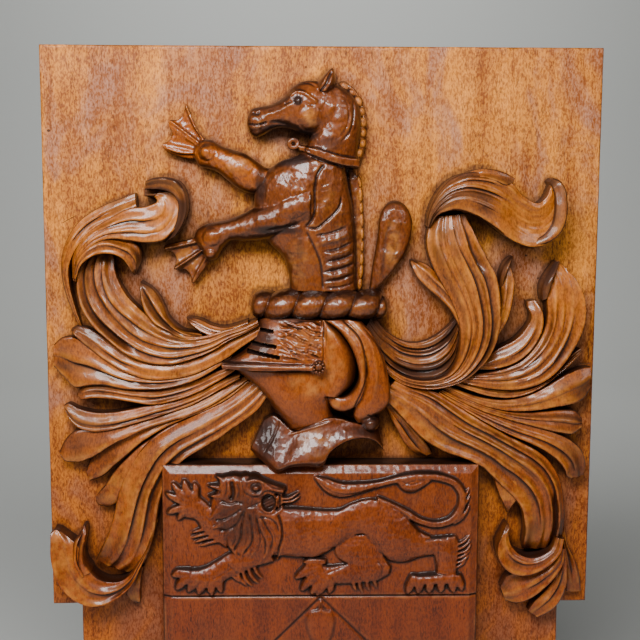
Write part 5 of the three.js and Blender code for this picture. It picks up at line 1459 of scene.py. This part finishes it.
# each fin: how many scallops, their half sizes, how far they stand out, and the edge they follow
finSettings = {
    "neckFin": {"count": 8, "size": (5.2, 7.0, 6.6), "out": 10,
                "edge": [(22,264),(28,260.5),(34,253.5),(38.5,244),(41.2,233),(41.6,221),(42,209),(40.5,199),
                         (38,194)]},
    "backFin": {"count": 10, "size": (3.4, 6.0, 8.2), "out": 8,
                "edge": [(34,177),(38.5,166),(40,150),(41,132),(42,112),(42,90),(41.2,70),(40,54)]},
}
beadSettings = {"count": 9, "reach": 5.4, "size": (1.7, 2.2, 1.7), "centre": (-4.6, -30), "y": -78.5}


def makeScallopTree():
    # rounded scallops set along a fin's edge
    nodes, given, out = newTree("GeometryNodeTree", "finScallops", [
        ("Geometry", "Geometry"), ("Count", "Int", 11), ("Size", "Vector", (.005, .005, .005)), ("Seed", "Int", 4),
        ("Wood", "Material")], [("Geometry", "Geometry")])
    edge = nodes.out("GeometryNodeResampleCurve", {"Curve": given["Geometry"], "Count": given["Count"]})
    ball = nodes.out("GeometryNodeMeshIcoSphere", {"Radius": 1.0, "Subdivisions": 4})
    turn = nodes.out("FunctionNodeAlignRotationToVector", {"Vector": nodes.out("GeometryNodeInputTangent")}, axis="Z")
    change = nodes.out("FunctionNodeRandomValue", {2: .85, 3: 1.15, "Seed": given["Seed"]}, 1, data_type="FLOAT")
    size = nodes.out("ShaderNodeVectorMath", {0: given["Size"], "Scale": change}, operation="SCALE")
    return endTree(nodes, given, out, nodes.out("GeometryNodeInstanceOnPoints", {
        "Points": edge, "Instance": ball, "Rotation": turn, "Scale": size}))


scallopTree = makeScallopTree()


def growFin(name, settings):
    points = [(x, boardFront - settings["out"], z) for x, z in smoothLine(settings["edge"], 1.5)]
    sizes = {"Count": settings["count"], "Size": [v * mm for v in settings["size"]], "Seed": 4}
    return grow(name, points, scallopTree, sizes, "boardWood")


def growBeads(settings):
    x, z = settings["centre"]
    points = [(x + settings["reach"] * math.cos(a), settings["y"], z + settings["reach"] * math.sin(a))
              for a in np.linspace(0, 2 * math.pi, 49)]
    sizes = {"Count": settings["count"] + 1, "Size": [v * mm for v in settings["size"]], "Seed": 2}
    return grow("rosette", points, scallopTree, sizes, "crestWood")


# the board
boardSettings = {"wideHalf": 300.0, "narrowHalf": 268.0, "top": 307.0, "step": -307.0, "bottom": -592.5, "cell": 2.7,
                 "rounding": 1.3, "backRounding": .8, "unevenness": .3, "dip": .7}


def boardPart(settings):
    wide, narrow, top, step, bottom = [settings[name] for name in ("wideHalf", "narrowHalf", "top", "step", "bottom")]

    def lines(*marks):
        runs = [np.linspace(a, b, max(1, int(round((b - a) / settings["cell"]))) + 1)[:-1]
                for a, b in zip(marks[:-1], marks[1:])]
        return np.concatenate(runs + [[marks[-1]]])

    xs, zs = lines(-wide, -narrow, narrow, wide), lines(bottom, step, top)
    inside = (np.abs(xs[:-1] + xs[1:]) / 2 <= narrow)[:, None] | ((zs[:-1] + zs[1:]) / 2 >= step)
    quads = gridQuads(np.arange(len(xs) * len(zs)).reshape(len(xs), len(zs)))[inside.reshape(-1)]
    used, renamed = np.unique(quads, return_inverse=True)
    quads = renamed.reshape(-1, 4)
    x, z = [values.reshape(-1)[used] for values in np.meshgrid(xs, zs, indexing="ij")]
    seen = {(a, b) for a, b in sidesOf(quads).tolist()}
    follow = {a: b for a, b in seen if (b, a) not in seen}
    rim = [next(iter(follow))]
    while follow[rim[-1]] != rim[0]:
        rim.append(follow[rim[-1]])
    rim = np.array(rim)
    near = np.clip(crowd.level[crowd.cells(x, z)] / 10, 0, 1)
    uneven = softNoise(x / 17, z / 30, 41) + .5 * softNoise(x / 5, z / 8, 42)
    y = boardFront + (settings["unevenness"] * uneven - .5 * scoops(x / 15, z / 26, 44) + settings["dip"] * near)
    # rounded: the front stops short of the board's side
    rimX, rimZ = x[rim], z[rim]
    side = np.abs(rimX)
    atWide, atNarrow = np.abs(side - wide) < .01, (np.abs(side - narrow) < .01) & (rimZ <= step + .01)
    inwardX = np.where(atWide | atNarrow, -np.sign(rimX), 0)
    underStep = (np.abs(rimZ - step) < .01) & (side > narrow - .01)
    inwardZ = np.where((np.abs(rimZ - bottom) < .01) | underStep, 1, 0) - np.where(np.abs(rimZ - top) < .01, 1, 0)
    wear = settings["rounding"] * (1 + .5 * softNoise(rimX / 23 + rimZ / 19, rimZ / 40, 43))
    back = settings["backRounding"]

    def ring(y, inset=0):
        return np.stack(np.broadcast_arrays(rimX + inwardX * inset, y, rimZ + inwardZ * inset), axis=-1)

    front = np.stack([x, y, z], axis=-1)
    front[rim] = ring(boardFront, wear)
    points = np.concatenate([front, ring(boardFront + wear), ring(-back), ring(0, back)])
    rings = np.concatenate([rim, np.arange(len(front), len(points))]).reshape(4, -1)
    return Part(points, np.concatenate([quads, gridQuads(rings, (0, 1))])), rings[-1]


def boardPiece(settings):
    part, rim = boardPart(settings)
    soilAndShade(part, .8)
    part.dirt[part.y > -1] = 0
    back = rim[::-1].tolist()                       # the flat back is one large face, which looks the other way
    mesh = meshFrom("board", part.points, part.faces.tolist() + [back])
    finishPiece("board", mesh, part, "boardWood", 40)


# put together
wreathMesh = growWreath(wreathSettings)
standsHere([Part(readPoints(wreathMesh), None)])
spreadCrowd(crowdingSettings)
for name, part in mantlings.items():
    soilAndShade(part)
    keepPart(name, part, "mantlingWood", 48)
pieceWoods = {"farArm": "helmetWood", "gorget": "crestWood"}       # pieces with another finish than their group's
for parts, wood, strength in ((beast, "crestWood", 3.0), (helmet, "helmetWood", 3.5)):
    for name, part in parts.items():
        soilAndShade(part)
        hollowShadeAndProudSheen(part, strength)
        keepPart(name, part, pieceWoods.get(name, wood), 60)
for name, part, strength in (("chief", chief, 4.0), ("lowerShield", lowerShield, 3.0)):
    hollowShadeAndProudSheen(part, strength)
    soilAndShade(part)
    keepPart(name, part, "shieldWood", 60)
keepGrown("wreath", wreathMesh)
for name, settings in finSettings.items():
    keepGrown(name, growFin(name, settings))
keepGrown("rosette", growBeads(beadSettings))
boardPiece(boardSettings)
print("pieces in place")

# floor and light
stageSettings = {"floorLevel": -592.5, "floorTone": (.64, .65, .62), "skyTone": (.93, .96, 1.0, 1),
                 "skyStrength": .09, "backdrop": (2.9, 1.2), "half": 8, "height": 6,
                 # each lamp's place, aim, width, height and power, in metres and watts
                 "lamps": {"keyLamp": ((-.2, -1.0, .82), (-.02, -.03, .2), .7, .4, 25),
                           "leftLamp": ((-1.15, -1.35, .95), (-.05, 0, .2), .7, .7, 19),
                           "rightLamp": ((1.15, -1.35, .95), (0, 0, .15), .6, .6, 6),
                           "backLamp": ((0, 2.0, 1.9), (0, 4.1, .7), 1.6, 1.0, 40)}}


def addStage(settings):
    # one sheet: the floor, and behind the panel a backdrop that rises from it in a curve
    level, half = settings["floorLevel"] * mm, settings["half"]
    far, reach = settings["backdrop"]
    turns = [k * math.pi / 24 for k in range(1, 13)]
    curve = [(far + reach * math.sin(a), level + reach * (1 - math.cos(a))) for a in turns]
    section = [(-half, level), (far, level), *curve, (far + reach, settings["height"])]
    mesh = bpy.data.meshes.new("floor")
    mesh.from_pydata([(x, y, z) for y, z in section for x in (-half, half)], [],
                     [(2 * k, 2 * k + 1, 2 * k + 3, 2 * k + 2) for k in range(len(section) - 1)])
    mesh.shade_smooth()
    material = bpy.data.materials.new("paleFloor")
    material.use_nodes = True
    nodes = Nodes(material.node_tree)
    nodes.fill(nodes.tree.nodes["Principled BSDF"], {"Base Color": settings["floorTone"], "Roughness": .8})
    mesh.materials.append(material)
    addObject("floor", mesh)
    world = bpy.data.worlds.new("studio")
    world.use_nodes = True
    nodes = Nodes(world.node_tree)
    nodes.fill(nodes.tree.nodes["Background"], {0: settings["skyTone"], 1: settings["skyStrength"]})
    bpy.context.scene.world = world
    for name, (place, aim, width, height, power) in settings["lamps"].items():
        data = bpy.data.lights.new(name, "AREA")
        data.shape = "RECTANGLE"
        data.size, data.size_y, data.energy = width, height, power
        lamp = addObject(name, data)
        lamp.location = place
        lamp.rotation_mode = "QUATERNION"
        lamp.rotation_quaternion = (Vector(aim) - Vector(place)).to_track_quat("-Z", "Y")


addStage(stageSettings)
print("stage lit")
